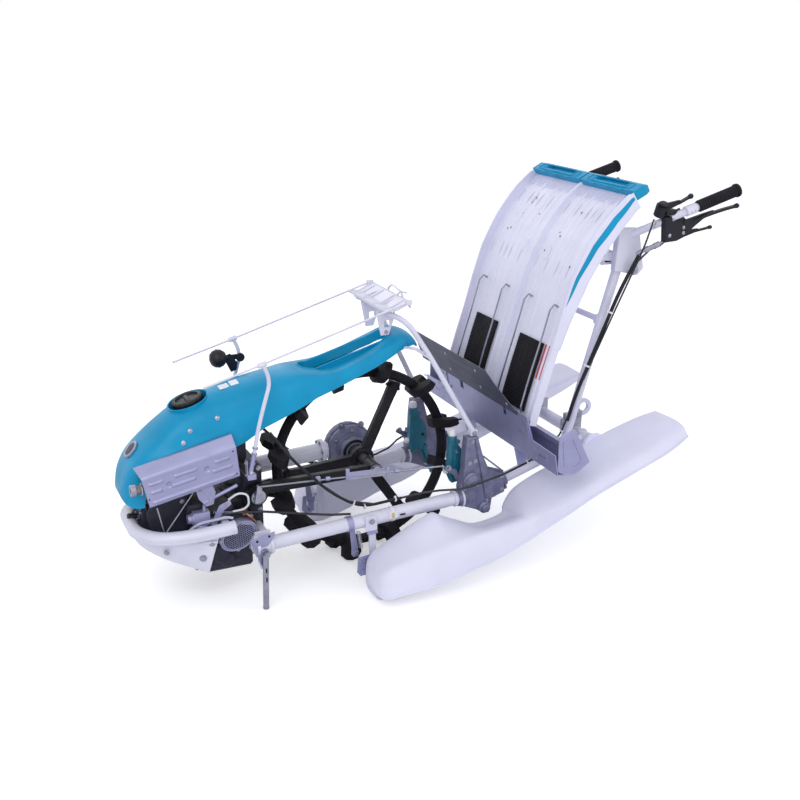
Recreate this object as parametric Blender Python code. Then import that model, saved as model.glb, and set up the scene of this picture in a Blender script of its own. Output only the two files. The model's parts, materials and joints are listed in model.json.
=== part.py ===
"""Two-row walk-behind rice transplanter with one drive wheel, parked on its wheel, stand and float noses.

Metres. +X is forward, +Y is the operator's left, +Z is up. Lengths along X are written from the
wheel axle; place() moves every finished node forward by AXLE_X, which puts the origin on the ground
under the middle of the machine.
"""

import math

import bmesh
import bpy
from mathutils import Matrix, Vector

# ---------------------------------------------------------------- driving dimensions
AXLE_X = 0.192
AXLE_Z = 0.330
GAP = 0.0003

RIM_R = 0.290
RIM_TUBE_R = 0.016
LUG_COUNT = 12
LUG_FIRST_DEG = -75.0
LUG_ROOT_R = RIM_R - 0.030
LUG_ROOT_HALF = 0.017
LUG_TIP_HALF = 0.011
LUG_HALF_WIDTH = 0.080
LUG_SKEW = 0.22
LUG_LEAN = math.radians(12.0)
# Two lugs share the load on flat ground, so the tip circle is a little larger than the axle height.
LUG_HALF_STEP = math.radians(180.0 / LUG_COUNT)
LUG_CORNER = LUG_TIP_HALF + LUG_SKEW * 0.8 * LUG_HALF_WIDTH
LUG_TIP_R = math.hypot(
    (AXLE_Z - LUG_CORNER * math.sin(LUG_HALF_STEP)) / math.cos(LUG_HALF_STEP), LUG_CORNER
)
SPOKE_DEGS = (116.0, -124.0, -4.0)
HUB_Y = (-0.0457, 0.056)

TRACK_Y = 0.205
TUBE_R = 0.022
TUBE_FRONT = (0.440, 0.1900)
TUBE_REAR = (-0.248, 0.2248)
REAR_TUBE_R = 0.018
REAR_TUBE_START = (-0.412, TRACK_Y - 0.020, 0.250)
REAR_TUBE_END = (-0.749, TRACK_Y - 0.035, 0.342)

PIVOT_X = 0.390
PIVOT_Z = 0.310
CHAIN_CASE_Y = (-0.150, -0.0925)
GEARCASE_R = 0.078
LEFT_ARM_Y = (0.092, 0.110)
BOSS_GAP = 0.0065

STAND_X = 0.413
STAND_Z = 0.183
STAND_Y = TRACK_Y + 0.042
STAND_R = 0.009

CRANK_X = -0.285
CRANK_Y = TRACK_Y - 0.035
CRANK_Z = 0.285
CRANK_THROW = 0.035
ARM_Y = TRACK_Y - 0.056
ROW_Y = 0.150

GUIDE_HALF = 0.450
TRAY_HALF = 0.297
TRAY_STROKE = 0.130
TRAY_WALL = 0.022
HANDLE_Y = 0.220
GRIP_Y = 0.328
POST_Y = 0.151
HEAD_X = (-0.052, -0.028)
HEAD_Z = 0.850

# Floor line of the seedling tray, x and z from its foot to its top edge.
TRAY_LINE = (
    (-0.472, 0.466),
    (-0.490, 0.536),
    (-0.517, 0.626),
    (-0.547, 0.718),
    (-0.577, 0.822),
    (-0.612, 0.926),
    (-0.662, 1.020),
    (-0.726, 1.103),
    (-0.785, 1.154),
    (-0.850, 1.186),
)

# Hood sections: x, top z, crease half width, crease z, lower edge half width, lower edge z.
HOOD = (
    (0.786, 0.378, 0.040, 0.370, 0.046, 0.350),
    (0.777, 0.410, 0.062, 0.398, 0.068, 0.336),
    (0.762, 0.442, 0.078, 0.425, 0.084, 0.328),
    (0.744, 0.470, 0.088, 0.445, 0.094, 0.326),
    (0.728, 0.487, 0.094, 0.458, 0.100, 0.330),
    (0.716, 0.500, 0.098, 0.465, 0.104, 0.452),
    (0.690, 0.525, 0.102, 0.478, 0.108, 0.462),
    (0.650, 0.560, 0.105, 0.495, 0.112, 0.474),
    (0.600, 0.598, 0.106, 0.505, 0.113, 0.470),
    (0.540, 0.622, 0.107, 0.524, 0.114, 0.470),
    (0.480, 0.635, 0.107, 0.548, 0.115, 0.472),
    (0.420, 0.650, 0.106, 0.570, 0.116, 0.492),
    (0.360, 0.661, 0.104, 0.594, 0.117, 0.528),
    (0.300, 0.669, 0.102, 0.618, 0.116, 0.550),
    (0.240, 0.675, 0.100, 0.640, 0.113, 0.573),
    (0.185, 0.670, 0.098, 0.655, 0.109, 0.597),
    (0.130, 0.667, 0.096, 0.662, 0.104, 0.613),
    (0.080, 0.678, 0.094, 0.674, 0.101, 0.630),
    (0.030, 0.695, 0.091, 0.690, 0.099, 0.648),
    (-0.020, 0.715, 0.088, 0.709, 0.095, 0.666),
    (-0.060, 0.735, 0.085, 0.724, 0.091, 0.684),
    (-0.095, 0.752, 0.080, 0.736, 0.087, 0.702),
    (-0.125, 0.755, 0.072, 0.738, 0.078, 0.710),
    (-0.155, 0.742, 0.055, 0.728, 0.061, 0.710),
    (-0.180, 0.715, 0.030, 0.706, 0.036, 0.696),
)
HOOD_SKIN = 0.004
SLOT_X = (-0.092, 0.212)
SLOT_HALF = 0.0425
CAP_TOP = (0.561, 0.0, 0.612)
CAP_AXIS = (0.292, 0.0, 0.956)
CAP_R = 0.047
CAP_HEIGHT = 0.040
FILLER_R = 0.062

# Left float sections: x, inner y, outer y, bottom, outer bottom edge, rim, outer ridge and inner top z.
FLOAT = (
    (0.110, 0.085, 0.180, 0.034, 0.042, 0.052, 0.072, 0.088),
    (0.099, 0.061, 0.201, 0.012, 0.036, 0.056, 0.094, 0.112),
    (0.078, 0.047, 0.215, 0.002, 0.042, 0.062, 0.112, 0.132),
    (0.046, 0.041, 0.221, 0.000, 0.048, 0.066, 0.124, 0.148),
    (-0.046, 0.035, 0.223, 0.030, 0.054, 0.077, 0.140, 0.190),
    (-0.100, 0.033, 0.223, 0.050, 0.060, 0.087, 0.152, 0.212),
    (-0.130, 0.031, 0.223, 0.062, 0.068, 0.094, 0.158, 0.220),
    (-0.160, 0.031, 0.223, 0.074, 0.076, 0.100, 0.164, 0.204),
    (-0.215, 0.033, 0.223, 0.090, 0.090, 0.112, 0.174, 0.180),
    (-0.285, 0.037, 0.223, 0.110, 0.106, 0.128, 0.184, 0.152),
    (-0.380, 0.045, 0.223, 0.152, 0.142, 0.176, 0.204, 0.168),
    (-0.398, 0.031, 0.223, 0.160, 0.150, 0.188, 0.210, 0.200),
    (-0.445, 0.009, 0.223, 0.180, 0.172, 0.222, 0.232, 0.236),
    (-0.530, 0.006, 0.223, 0.218, 0.208, 0.246, 0.258, 0.274),
    (-0.620, 0.005, 0.223, 0.254, 0.250, 0.268, 0.288, 0.302),
    (-0.750, 0.007, 0.222, 0.304, 0.298, 0.312, 0.335, 0.360),
    (-0.900, 0.009, 0.219, 0.360, 0.352, 0.364, 0.392, 0.405),
    (-0.985, 0.019, 0.205, 0.396, 0.390, 0.400, 0.418, 0.424),
)

# Left planter case outline, x and z.
CASE_OUTLINE = (
    (-0.272, 0.430), (-0.310, 0.430), (-0.328, 0.365), (-0.352, 0.312), (-0.408, 0.292), (-0.412, 0.222),
    (-0.366, 0.208), (-0.362, 0.178), (-0.337, 0.160), (-0.308, 0.178), (-0.256, 0.200), (-0.250, 0.262),
    (-0.264, 0.324), (-0.266, 0.376),
)

WHITE = (0.80, 0.81, 0.88, 1.0)
TEAL = (0.010, 0.330, 0.520, 1.0)
GREY = (0.26, 0.27, 0.34, 1.0)
DARK_GREY = (0.085, 0.085, 0.12, 1.0)
BLACK = (0.012, 0.012, 0.016, 1.0)
SILVER = (0.48, 0.49, 0.60, 1.0)
STEEL = (0.38, 0.39, 0.45, 1.0)

# Colour, roughness and metallic value of each kind of surface.
FINISHES = {
    "white paint": (WHITE, 0.42, 0.0),
    "white plastic": (WHITE, 0.50, 0.0),
    "teal plastic": (TEAL, 0.34, 0.0),
    "grey casting": (GREY, 0.60, 0.7),
    "dark casting": (DARK_GREY, 0.60, 0.6),
    "black steel": (BLACK, 0.50, 0.2),
    "black rubber": (BLACK, 0.75, 0.0),
    "black plastic": (BLACK, 0.45, 0.0),
    "silver sheet": (SILVER, 0.38, 0.8),
    "steel": (STEEL, 0.35, 0.9),
}


# ---------------------------------------------------------------- shape helpers
def loft(rings, close_path=False, caps=True):
    """A skin through rings of equal length, capped at both ends unless it closes on itself."""
    bm = bmesh.new()
    rows = [[bm.verts.new(point) for point in ring] for ring in rings]
    count = len(rows[0])
    pairs = list(zip(rows, rows[1:]))
    if close_path:
        pairs.append((rows[-1], rows[0]))
    for first, second in pairs:
        for i in range(count):
            j = (i + 1) % count
            bm.faces.new((first[i], first[j], second[j], second[i]))
    if caps and not close_path:
        bm.faces.new(rows[0][::-1])
        bm.faces.new(rows[-1])
    bmesh.ops.recalc_face_normals(bm, faces=bm.faces)
    return bm


def rounded(points, radius, steps=3):
    """The same polyline with its corners turned into short arcs."""
    points = [Vector(point) for point in points]
    path = [points[0]]
    for before, corner, after in zip(points, points[1:], points[2:]):
        first = before - corner
        second = after - corner
        reach = min(radius, first.length * 0.45, second.length * 0.45)
        start = corner + first.normalized() * reach
        end = corner + second.normalized() * reach
        for step in range(steps + 1):
            t = step / steps
            path.append(start.lerp(corner, t).lerp(corner.lerp(end, t), t))
    path.append(points[-1])
    return path


def tangents_of(path, closed):
    count = len(path)
    found = []
    for i in range(count):
        before = path[i - 1] if closed or i else path[0]
        after = path[(i + 1) % count] if closed or i < count - 1 else path[-1]
        found.append((after - before).normalized())
    return found


def sweep(path, section, up=(0.0, 0.0, 1.0), closed=False):
    """A section of (side, up) pairs carried along a path, with its up axis held near the one given."""
    path = [Vector(point) for point in path]
    up = Vector(up)
    rings = []
    for point, along in zip(path, tangents_of(path, closed)):
        side = along.cross(up).normalized()
        top = side.cross(along)
        rings.append([point + side * a + top * b for a, b in section])
    return loft(rings, close_path=closed)


def circle(radius, sides):
    return [
        (radius * math.cos(math.tau * i / sides), radius * math.sin(math.tau * i / sides))
        for i in range(sides)
    ]


def tube(path, radius, sides=10, up=(0.0, 0.0, 1.0), closed=False):
    return sweep(path, circle(radius, sides), up, closed)


def strip(path, width, thick, up=(0.0, 0.0, 1.0)):
    a, b = width / 2, thick / 2
    return sweep(path, ((-a, -b), (a, -b), (a, b), (-a, b)), up)


def box(x, y, z, edge=0.0):
    """A box from three (low, high) pairs, with its edges chamfered by edge."""
    bm = bmesh.new()
    bmesh.ops.create_cube(bm, size=1.0)
    low = Vector((min(x), min(y), min(z)))
    high = Vector((max(x), max(y), max(z)))
    size = high - low
    middle = (low + high) / 2
    for vert in bm.verts:
        vert.co = Vector(a * b for a, b in zip(vert.co, size)) + middle
    if edge:
        bmesh.ops.bevel(bm, geom=bm.edges[:], offset=edge, segments=1, affect="EDGES")
    return bm


def prism(outline, y, edge=0.0):
    """An (x, z) outline pulled from one y to another."""
    rings = [[Vector((a, level, b)) for a, b in outline] for level in y]
    bm = loft(rings)
    if edge:
        flat = [e for e in bm.edges if abs(e.verts[0].co.y - e.verts[1].co.y) < 1e-6]
        bmesh.ops.bevel(bm, geom=flat, offset=edge, segments=1, affect="EDGES")
    return bm


def turned(profile, origin, axis, sides=24):
    """A turned solid from (distance along the axis, radius) pairs."""
    axis = Vector(axis).normalized()
    helper = Vector((0.0, 0.0, 1.0)) if abs(axis.z) < 0.9 else Vector((1.0, 0.0, 0.0))
    side = axis.cross(helper).normalized()
    top = axis.cross(side)
    origin = Vector(origin)
    rings = [
        [origin + axis * along + side * a + top * b for a, b in circle(radius, sides)]
        for along, radius in profile
    ]
    return loft(rings)


def clear(radius, sides):
    """Radius of a polygon whose flats clear a round of the given radius."""
    return (radius + GAP) / math.cos(math.pi / sides)


def rod(start, end, radius, sides=12):
    start, end = Vector(start), Vector(end)
    return turned(((0.0, radius), ((end - start).length, radius)), start, end - start, sides)


def pinned(x, y, z, radius, sides=12):
    """A round bar across the machine from one y to another."""
    return rod((x, y[0], z), (x, y[1], z), radius, sides)


def mirrored(bm):
    """A copy on the other side of the machine."""
    twin = bm.copy()
    for vert in twin.verts:
        vert.co.y = -vert.co.y
    bmesh.ops.reverse_faces(twin, faces=twin.faces)
    return twin


def spun(bm, degrees, centre=(0.0, 0.0, AXLE_Z)):
    """A copy turned about the Y axis through centre; a positive angle turns +X towards +Z."""
    twin = bm.copy()
    turn = Matrix.Rotation(-math.radians(degrees), 4, "Y")
    middle = Vector(centre)
    for vert in twin.verts:
        vert.co = turn @ (vert.co - middle) + middle
    return twin


def both(*shapes):
    return [side for shape in shapes for side in (shape, mirrored(shape))]


# ---------------------------------------------------------------- node helpers
def finish_material(name, finish):
    colour, roughness, metallic = FINISHES[finish]
    material = bpy.data.materials.new(name)
    material.use_nodes = True
    shader = material.node_tree.nodes["Principled BSDF"]
    shader.inputs["Base Color"].default_value = colour
    shader.inputs["Roughness"].default_value = roughness
    shader.inputs["Metallic"].default_value = metallic
    material.diffuse_color = colour
    return material


def object_of(name, shapes):
    bm = bmesh.new()
    for shape in shapes:
        mesh = bpy.data.meshes.new("part")
        shape.to_mesh(mesh)
        bm.from_mesh(mesh)
        bpy.data.meshes.remove(mesh)
    bmesh.ops.triangulate(bm, faces=bm.faces)
    mesh = bpy.data.meshes.new(name)
    bm.to_mesh(mesh)
    bm.free()
    obj = bpy.data.objects.new(name, mesh)
    bpy.context.scene.collection.objects.link(obj)
    return obj


def combine(obj, shapes, operation):
    if not shapes:
        return
    other = object_of(obj.name + ".tool", shapes)
    modifier = obj.modifiers.new(operation, "BOOLEAN")
    modifier.operation = operation
    modifier.solver = "EXACT"
    modifier.use_self = True
    modifier.object = other
    graph = bpy.context.evaluated_depsgraph_get()
    result = bpy.data.meshes.new_from_object(obj.evaluated_get(graph))
    obj.modifiers.remove(modifier)
    old = obj.data
    obj.data = result
    bpy.data.meshes.remove(old)
    used = other.data
    bpy.data.objects.remove(other)
    bpy.data.meshes.remove(used)


def place(name, finish, shapes, cuts=(), axis=None, smooth=35.0):
    """One closed node from overlapping shapes less the cuts, with its origin on axis if it moves."""
    obj = object_of(name, shapes[:1])
    combine(obj, shapes[1:], "UNION")
    combine(obj, list(cuts), "DIFFERENCE")
    origin = Vector(axis or (-AXLE_X, 0.0, 0.0))
    obj.data.transform(Matrix.Translation(-origin))
    obj.location = origin + Vector((AXLE_X, 0.0, 0.0))
    obj.data.name = name
    obj.data.materials.clear()
    obj.data.materials.append(finish_material(name, finish))
    obj.data.shade_smooth()
    obj.data.set_sharp_from_angle(angle=math.radians(smooth))
    return obj


def place_pair(stem, finish, shapes, cuts=(), axis=None, smooth=35.0):
    """The left node built from the shapes and its mirror image on the right."""
    place(stem + "_left", finish, shapes, cuts, axis, smooth)
    turned_axis = (axis[0], -axis[1], axis[2]) if axis else None
    flipped = [mirrored(shape) for shape in shapes]
    place(stem + "_right", finish, flipped, [mirrored(cut) for cut in cuts], turned_axis, smooth)


def along_line(line, fraction):
    """The point and forward normal at a fraction of the length of an (x, z) line."""
    points = [Vector((x, 0.0, z)) for x, z in line]
    spans = [(b - a).length for a, b in zip(points, points[1:])]
    target = fraction * sum(spans)
    for a, b, span in zip(points, points[1:], spans):
        if target <= span + 1e-9:
            break
        target -= span
    along = (b - a).normalized()
    return a + along * target, Vector((along.z, 0.0, -along.x))


def rear_tube_bore(extra=0.0):
    """The space of the left rear tube with its running gap."""
    start, end = Vector(REAR_TUBE_START), Vector(REAR_TUBE_END)
    wide = clear(REAR_TUBE_R, 14)
    return turned(((-GAP - extra, wide), (0.45, wide)), start, end - start, 14)


# ---------------------------------------------------------------- wheel
def lug():
    """One rubber paddle with two rounded lobes, pointing along +X from the axle."""
    half = LUG_HALF_WIDTH
    reach = LUG_TIP_R - LUG_ROOT_R
    outline = [
        (-half * 0.30, 0.0),
        (-half * 0.62, reach * 0.12),
        (-half, reach * 0.45),
        (-half, reach * 0.78),
        (-half * 0.80, reach),
        (-half * 0.38, reach),
        (-half * 0.20, reach * 0.66),
    ]
    outline += [(-y, r) for y, r in outline[::-1]]
    slope = math.tan(LUG_LEAN)
    rings = []
    for side in (-1.0, 1.0):
        ring = []
        for y, r in outline:
            thick = LUG_ROOT_HALF + (LUG_TIP_HALF - LUG_ROOT_HALF) * r / reach
            ring.append(Vector((LUG_ROOT_R + r, y,
                                AXLE_Z + side * thick + (r - reach) * slope - LUG_SKEW * y)))
        rings.append(ring)
    bm = loft(rings)
    # The tip edge lies on the tip circle, so the wheel stands on whole lugs.
    for vert in bm.verts:
        radial = Vector((vert.co.x, 0.0, vert.co.z - AXLE_Z))
        if radial.length > LUG_TIP_R:
            radial.length = LUG_TIP_R
            vert.co = Vector((radial.x, vert.co.y, AXLE_Z + radial.z))
    return bm


def build_wheel():
    axle = (0.0, 0.0, AXLE_Z)
    ring = [(RIM_R * math.cos(math.tau * i / 60), 0.0,
             AXLE_Z + RIM_R * math.sin(math.tau * i / 60)) for i in range(60)]
    rim = tube(ring, RIM_TUBE_R, 10, up=(0.0, 1.0, 0.0), closed=True)
    paddle = lug()
    paddles = [spun(paddle, LUG_FIRST_DEG + i * 360.0 / LUG_COUNT) for i in range(LUG_COUNT)]
    place("wheel_rim", "black rubber", [rim] + paddles, axis=axle)

    low, high = HUB_Y
    hub = turned(
        ((low, 0.020), (low, 0.030), (-0.012, 0.030), (-0.008, 0.040), (0.008, 0.040), (0.012, 0.026),
         (high - 0.006, 0.024), (high, 0.018)),
        axle, (0.0, 1.0, 0.0), 20,
    )
    foot = 0.020
    reach = math.sqrt((RIM_R - RIM_TUBE_R) ** 2 - foot ** 2) - 2 * GAP
    sections = ((0.02, 0.010, 0.017), (0.20, 0.008, 0.016), (reach, 0.007, foot))
    spoke = loft([
        [(x, -a, AXLE_Z - b), (x, a, AXLE_Z - b), (x, a, AXLE_Z + b), (x, -a, AXLE_Z + b)]
        for x, a, b in sections
    ])
    spokes = [spun(spoke, degrees) for degrees in SPOKE_DEGS]
    place("wheel_spider", "black steel", [hub] + spokes, axis=axle)


# ---------------------------------------------------------------- frame
def build_frame():
    front = Vector((TUBE_FRONT[0], TRACK_Y, TUBE_FRONT[1]))
    rear = Vector((TUBE_REAR[0], TRACK_Y, TUBE_REAR[1]))
    along = (rear - front).normalized()
    tube_body = rod(front, rear, TUBE_R, 16)
    bore = rod(front - along * 0.02, rear + along * 0.02, TUBE_R - 0.0032, 16)
    collar = turned(((0.006, 0.029), (0.010, 0.031), (0.058, 0.031), (0.062, 0.029)), front, along, 16)
    lip = box((0.384, 0.432), (TRACK_Y - 0.005, TRACK_Y + 0.005), (0.205, 0.237), 0.001)
    foot = box((0.376, 0.400), (0.080 + GAP, TRACK_Y - 0.015), (0.178, 0.214), 0.002)
    cheek_y = TRACK_Y + 0.024
    cheek = prism(((0.396, 0.206), (0.434, 0.206), (0.432, 0.150), (0.424, 0.126), (0.414, 0.126),
                   (0.404, 0.150)),
                  (cheek_y, cheek_y + 0.003))
    ear = pinned(STAND_X, (cheek_y, STAND_Y - 0.0102), STAND_Z, 0.012, 14)
    pin = pinned(STAND_X, (cheek_y, STAND_Y + 0.013), STAND_Z, 0.004, 10)
    head = pinned(STAND_X, (STAND_Y + 0.0105, STAND_Y + 0.014), STAND_Z, 0.007, 10)
    web = box((0.400, 0.430), (TRACK_Y + 0.015, cheek_y + 0.001), (0.176, 0.205))
    shapes = [tube_body, collar, lip, foot, web, cheek]
    place("frame_tube_left", "white paint", shapes + [ear, pin, head], [bore])
    place("frame_tube_right", "white paint", [mirrored(shape) for shape in shapes], [mirrored(bore)])

    end_x, end_y, end_z = REAR_TUBE_END
    rise = (end_z - REAR_TUBE_START[2]) / (end_x - REAR_TUBE_START[0])
    run = rod(REAR_TUBE_START, REAR_TUBE_END, REAR_TUBE_R, 14)
    cross = pinned(end_x, (-end_y - 0.022, end_y + 0.022), end_z, 0.021, 16)
    pin = pinned(end_x, (end_y + 0.010, TRACK_Y + 0.009), end_z, 0.008, 10)
    post = tube(rounded(((-0.655, 0.176, end_z + 0.094 * rise), (-0.690, 0.190, 0.480),
                         (-0.832, HANDLE_Y, 1.040)), 0.06), 0.0155, 12, up=(0.0, 1.0, 0.0))
    tie = pinned(-0.7585, (-0.19, 0.19), 0.760, 0.010, 10)
    tie_end = box((-0.774, -0.744), (0.184, 0.2055), (0.745, 0.775), 0.002)
    ring = turned(((-0.006, 0.030), (0.006, 0.030)), (-0.781, 0.100, 0.425), (0.0, 1.0, 0.0), 18)
    ring_leg = box((-0.775, -0.757), (0.094, 0.106), (0.345, 0.410))
    bore = turned(((-0.02, 0.017), (0.02, 0.017)), (-0.781, 0.100, 0.425), (0.0, 1.0, 0.0), 16)
    rail = pinned(-0.700, (-0.262, 0.262), 0.968, 0.009, 12)
    bracket = prism(((-0.706, 0.962), (-0.706, 0.975), (-0.815, 0.985), (-0.820, 0.950)), (0.208, 0.216))
    rail_end = prism(((-0.690, 0.958), (-0.712, 0.958), (-0.745, 1.000), (-0.736, 1.008), (-0.690, 0.978)),
                     (0.250, 0.254))
    handle = tube(handle_path(), 0.0125, 12, up=(0.0, 1.0, 0.0))
    gusset = prism(((-0.786, 1.062), (-0.778, 0.925), (-0.868, 0.905), (-0.888, 0.925), (-0.862, 1.056)),
                   (HANDLE_Y - 0.006, HANDLE_Y + 0.020), 0.002)
    bolt = turned(((0.0, 0.014), (0.006, 0.014), (0.010, 0.008)), (-0.842, HANDLE_Y + 0.018, 0.925),
                  (0.0, 1.0, 0.0), 14)
    place(
        "rear_frame", "white paint",
        [cross, tie, ring, ring_leg, rail] + both(run, pin, post, tie_end, bracket, rail_end, handle,
                                                  gusset, bolt),
        [bore],
    )

    path = ((0.489, 0.197, 0.262), (0.600, 0.186, 0.250), (0.700, 0.155, 0.243), (0.758, 0.080, 0.243))
    full = [Vector(p) for p in path] + [Vector((a, -b, c)) for a, b, c in path[::-1]]
    bumper = tube(rounded(full, 0.05), 0.020, 12)
    top = ((0.528, 0.184, 0.252), (0.590, 0.176, 0.247), (0.650, 0.162, 0.243), (0.705, 0.134, 0.240),
           (0.746, 0.075, 0.238), (0.758, 0.0, 0.238))
    low = ((0.566, 0.166, 0.113), (0.622, 0.152, 0.138), (0.668, 0.138, 0.158), (0.710, 0.108, 0.176),
           (0.742, 0.062, 0.190), (0.752, 0.0, 0.196))
    rings = []
    for upper, lower in both_ways(top, low):
        inward = (Vector((0.40, 0.0, 0.0)) - Vector((upper[0], upper[1], 0.0))).normalized() * 0.004
        rings.append([Vector(upper), Vector(lower), Vector(lower) + inward, Vector(upper) + inward])
    lug_boss = box((0.576, 0.592), (0.110, 0.1690), (0.180, 0.214), 0.002)
    place("front_bumper", "white paint", [bumper, loft(rings)] + both(lug_boss),
          [box((0.50, 0.5935), (-0.120 - GAP, 0.120 + GAP), (0.10, 0.30))])


def both_ways(top, low):
    """Pairs of upper and lower points on the left, then the same pairs mirrored back along the right."""
    pairs = list(zip(top, low))
    flip = [((a, -b, c), (d, -e, f)) for (a, b, c), (d, e, f) in pairs[-2::-1]]
    return pairs + flip


def handle_path():
    return rounded(((-0.812, HANDLE_Y, 1.026), (-0.900, 0.266, 1.068), (-0.965, GRIP_Y, 1.1143),
                    (-1.158, GRIP_Y, 1.168)), 0.04)


# ---------------------------------------------------------------- engine and drive
def build_engine():
    crank = box((0.465, 0.600), (-0.120, 0.120), (0.100, 0.300), 0.010)
    wing = box((0.405, 0.590), (0.086, 0.120), (0.120, 0.266), 0.006)
    barrel = box((0.590, 0.700), (-0.060, 0.060), (0.195, 0.325), 0.006)
    head = box((0.690, 0.724), (-0.052, 0.052), (0.200, 0.318), 0.008)
    fins = [
        box((x, x + 0.005), (-0.078, 0.078), (0.178, 0.330))
        for x in (0.608, 0.626, 0.644, 0.662, 0.680)
    ]
    boss = turned(((0.0, 0.027), (0.040, 0.027), (0.046, 0.021)), (0.498, 0.085, 0.124), (0.0, 1.0, 0.0),
                  18)
    sump = box((0.412, 0.562), (-0.070, 0.114), (0.084, 0.130), 0.008)
    intake = box((0.560, 0.610), (0.062, 0.118), (0.262, 0.318), 0.005)
    bowl = turned(((0.0, 0.018), (0.030, 0.018), (0.034, 0.012)), (0.585, 0.095, 0.232), (0.0, 0.0, 1.0),
                  14)
    place("engine", "dark casting", [crank, wing, barrel, head] + fins + [boss, sump, intake, bowl])

    tilt = math.radians(22.0)
    centre = Vector((0.465, 0.0, 0.207))
    rings = []
    for level, grow in ((0.120 + GAP, 1.0), (0.140, 1.0), (0.150, 0.90), (0.154, 0.70)):
        ring = []
        for a, b in circle(1.0, 28):
            u, v = 0.062 * grow * a, 0.044 * grow * b
            ring.append(centre + Vector((u * math.cos(tilt) + v * math.sin(tilt), level,
                                         v * math.cos(tilt) - u * math.sin(tilt))))
        rings.append(ring)
    place("recoil_cover", "silver sheet", [loft(rings)])

    case = box((0.362, 0.430), (-0.080, 0.080), (0.175, 0.400), 0.010)
    shaft = pinned(PIVOT_X, (CHAIN_CASE_Y[0], LEFT_ARM_Y[1] + 0.012), PIVOT_Z, 0.022, 16)
    link = box((0.425, 0.465 - GAP), (-0.070, 0.070), (0.190, 0.290), 0.004)
    yoke = box((0.404, 0.432), (-POST_Y - 0.007, POST_Y + 0.007), (0.386, 0.398), 0.002)
    stem = box((0.392, 0.424), (-0.020, 0.020), (0.390, 0.510 - GAP), 0.003)
    place("transmission", "dark casting", [case, shaft, link, yoke, stem])

    muffler = turned(((0.0, 0.030), (0.006, 0.042), (0.232, 0.042), (0.238, 0.030)), (0.470, 0.092, 0.412),
                     (0.985, 0.0, -0.10), 20)
    outlet = tube(rounded(((0.660, 0.112, 0.400), (0.700, 0.126, 0.402), (0.768, 0.128, 0.402)), 0.02),
                  0.013, 12)
    port = tube(rounded(((0.630, 0.080, 0.385), (0.655, 0.075, 0.350), (0.670, 0.062, 0.320)), 0.02),
                0.012, 10,
                up=(0.0, 1.0, 0.0))
    place("muffler", "steel", [muffler, outlet, port],
          [box((0.55, 0.75), (0.0, 0.0787), (0.15, 0.330 + GAP))])

    front = ((0.757, 0.112, 0.465), (0.743, 0.152, 0.441), (0.734, 0.152, 0.395), (0.724, 0.152, 0.349),
             (0.722, 0.138, 0.343), (0.722, 0.138, 0.346), (0.7245, 0.149, 0.351), (0.734, 0.149, 0.395),
             (0.743, 0.149, 0.4390), (0.757, 0.111, 0.462))
    rear = ((0.464, 0.119, 0.529), (0.460, 0.152, 0.496), (0.446, 0.152, 0.445), (0.452, 0.152, 0.402),
            (0.452, 0.138, 0.396), (0.452, 0.138, 0.399), (0.452, 0.149, 0.404), (0.446, 0.149, 0.445),
            (0.460, 0.149, 0.4945), (0.464, 0.117, 0.526))
    stay = box((0.556, 0.576), (0.1343, 0.1505), (0.400, 0.420))
    place("exhaust_guard", "silver sheet",
          [loft([[Vector(p) for p in front], [Vector(p) for p in rear]]), stay])

    place("air_cleaner", "black plastic", [
        box((0.470, 0.640), (-0.138, -0.062), (0.352, 0.440), 0.012),
        rod((0.560, -0.090, 0.300 + GAP), (0.560, -0.090, 0.360), 0.018, 14),
    ])


def hull_outline(ax, az, ar, bx, bz, br, steps=12):
    """The (x, z) outline round two circles, a in front of b."""
    lean = math.asin((ar - br) / math.hypot(ax - bx, az - bz))
    base = math.atan2(az - bz, ax - bx)
    front = [base - math.pi / 2 - lean + (math.pi + 2 * lean) * i / steps for i in range(steps + 1)]
    back = [base + math.pi / 2 + lean + (math.pi - 2 * lean) * i / steps for i in range(steps + 1)]
    points = [(ax + ar * math.cos(a), az + ar * math.sin(a)) for a in front]
    points += [(bx + br * math.cos(a), bz + br * math.sin(a)) for a in back]
    return points


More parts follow.
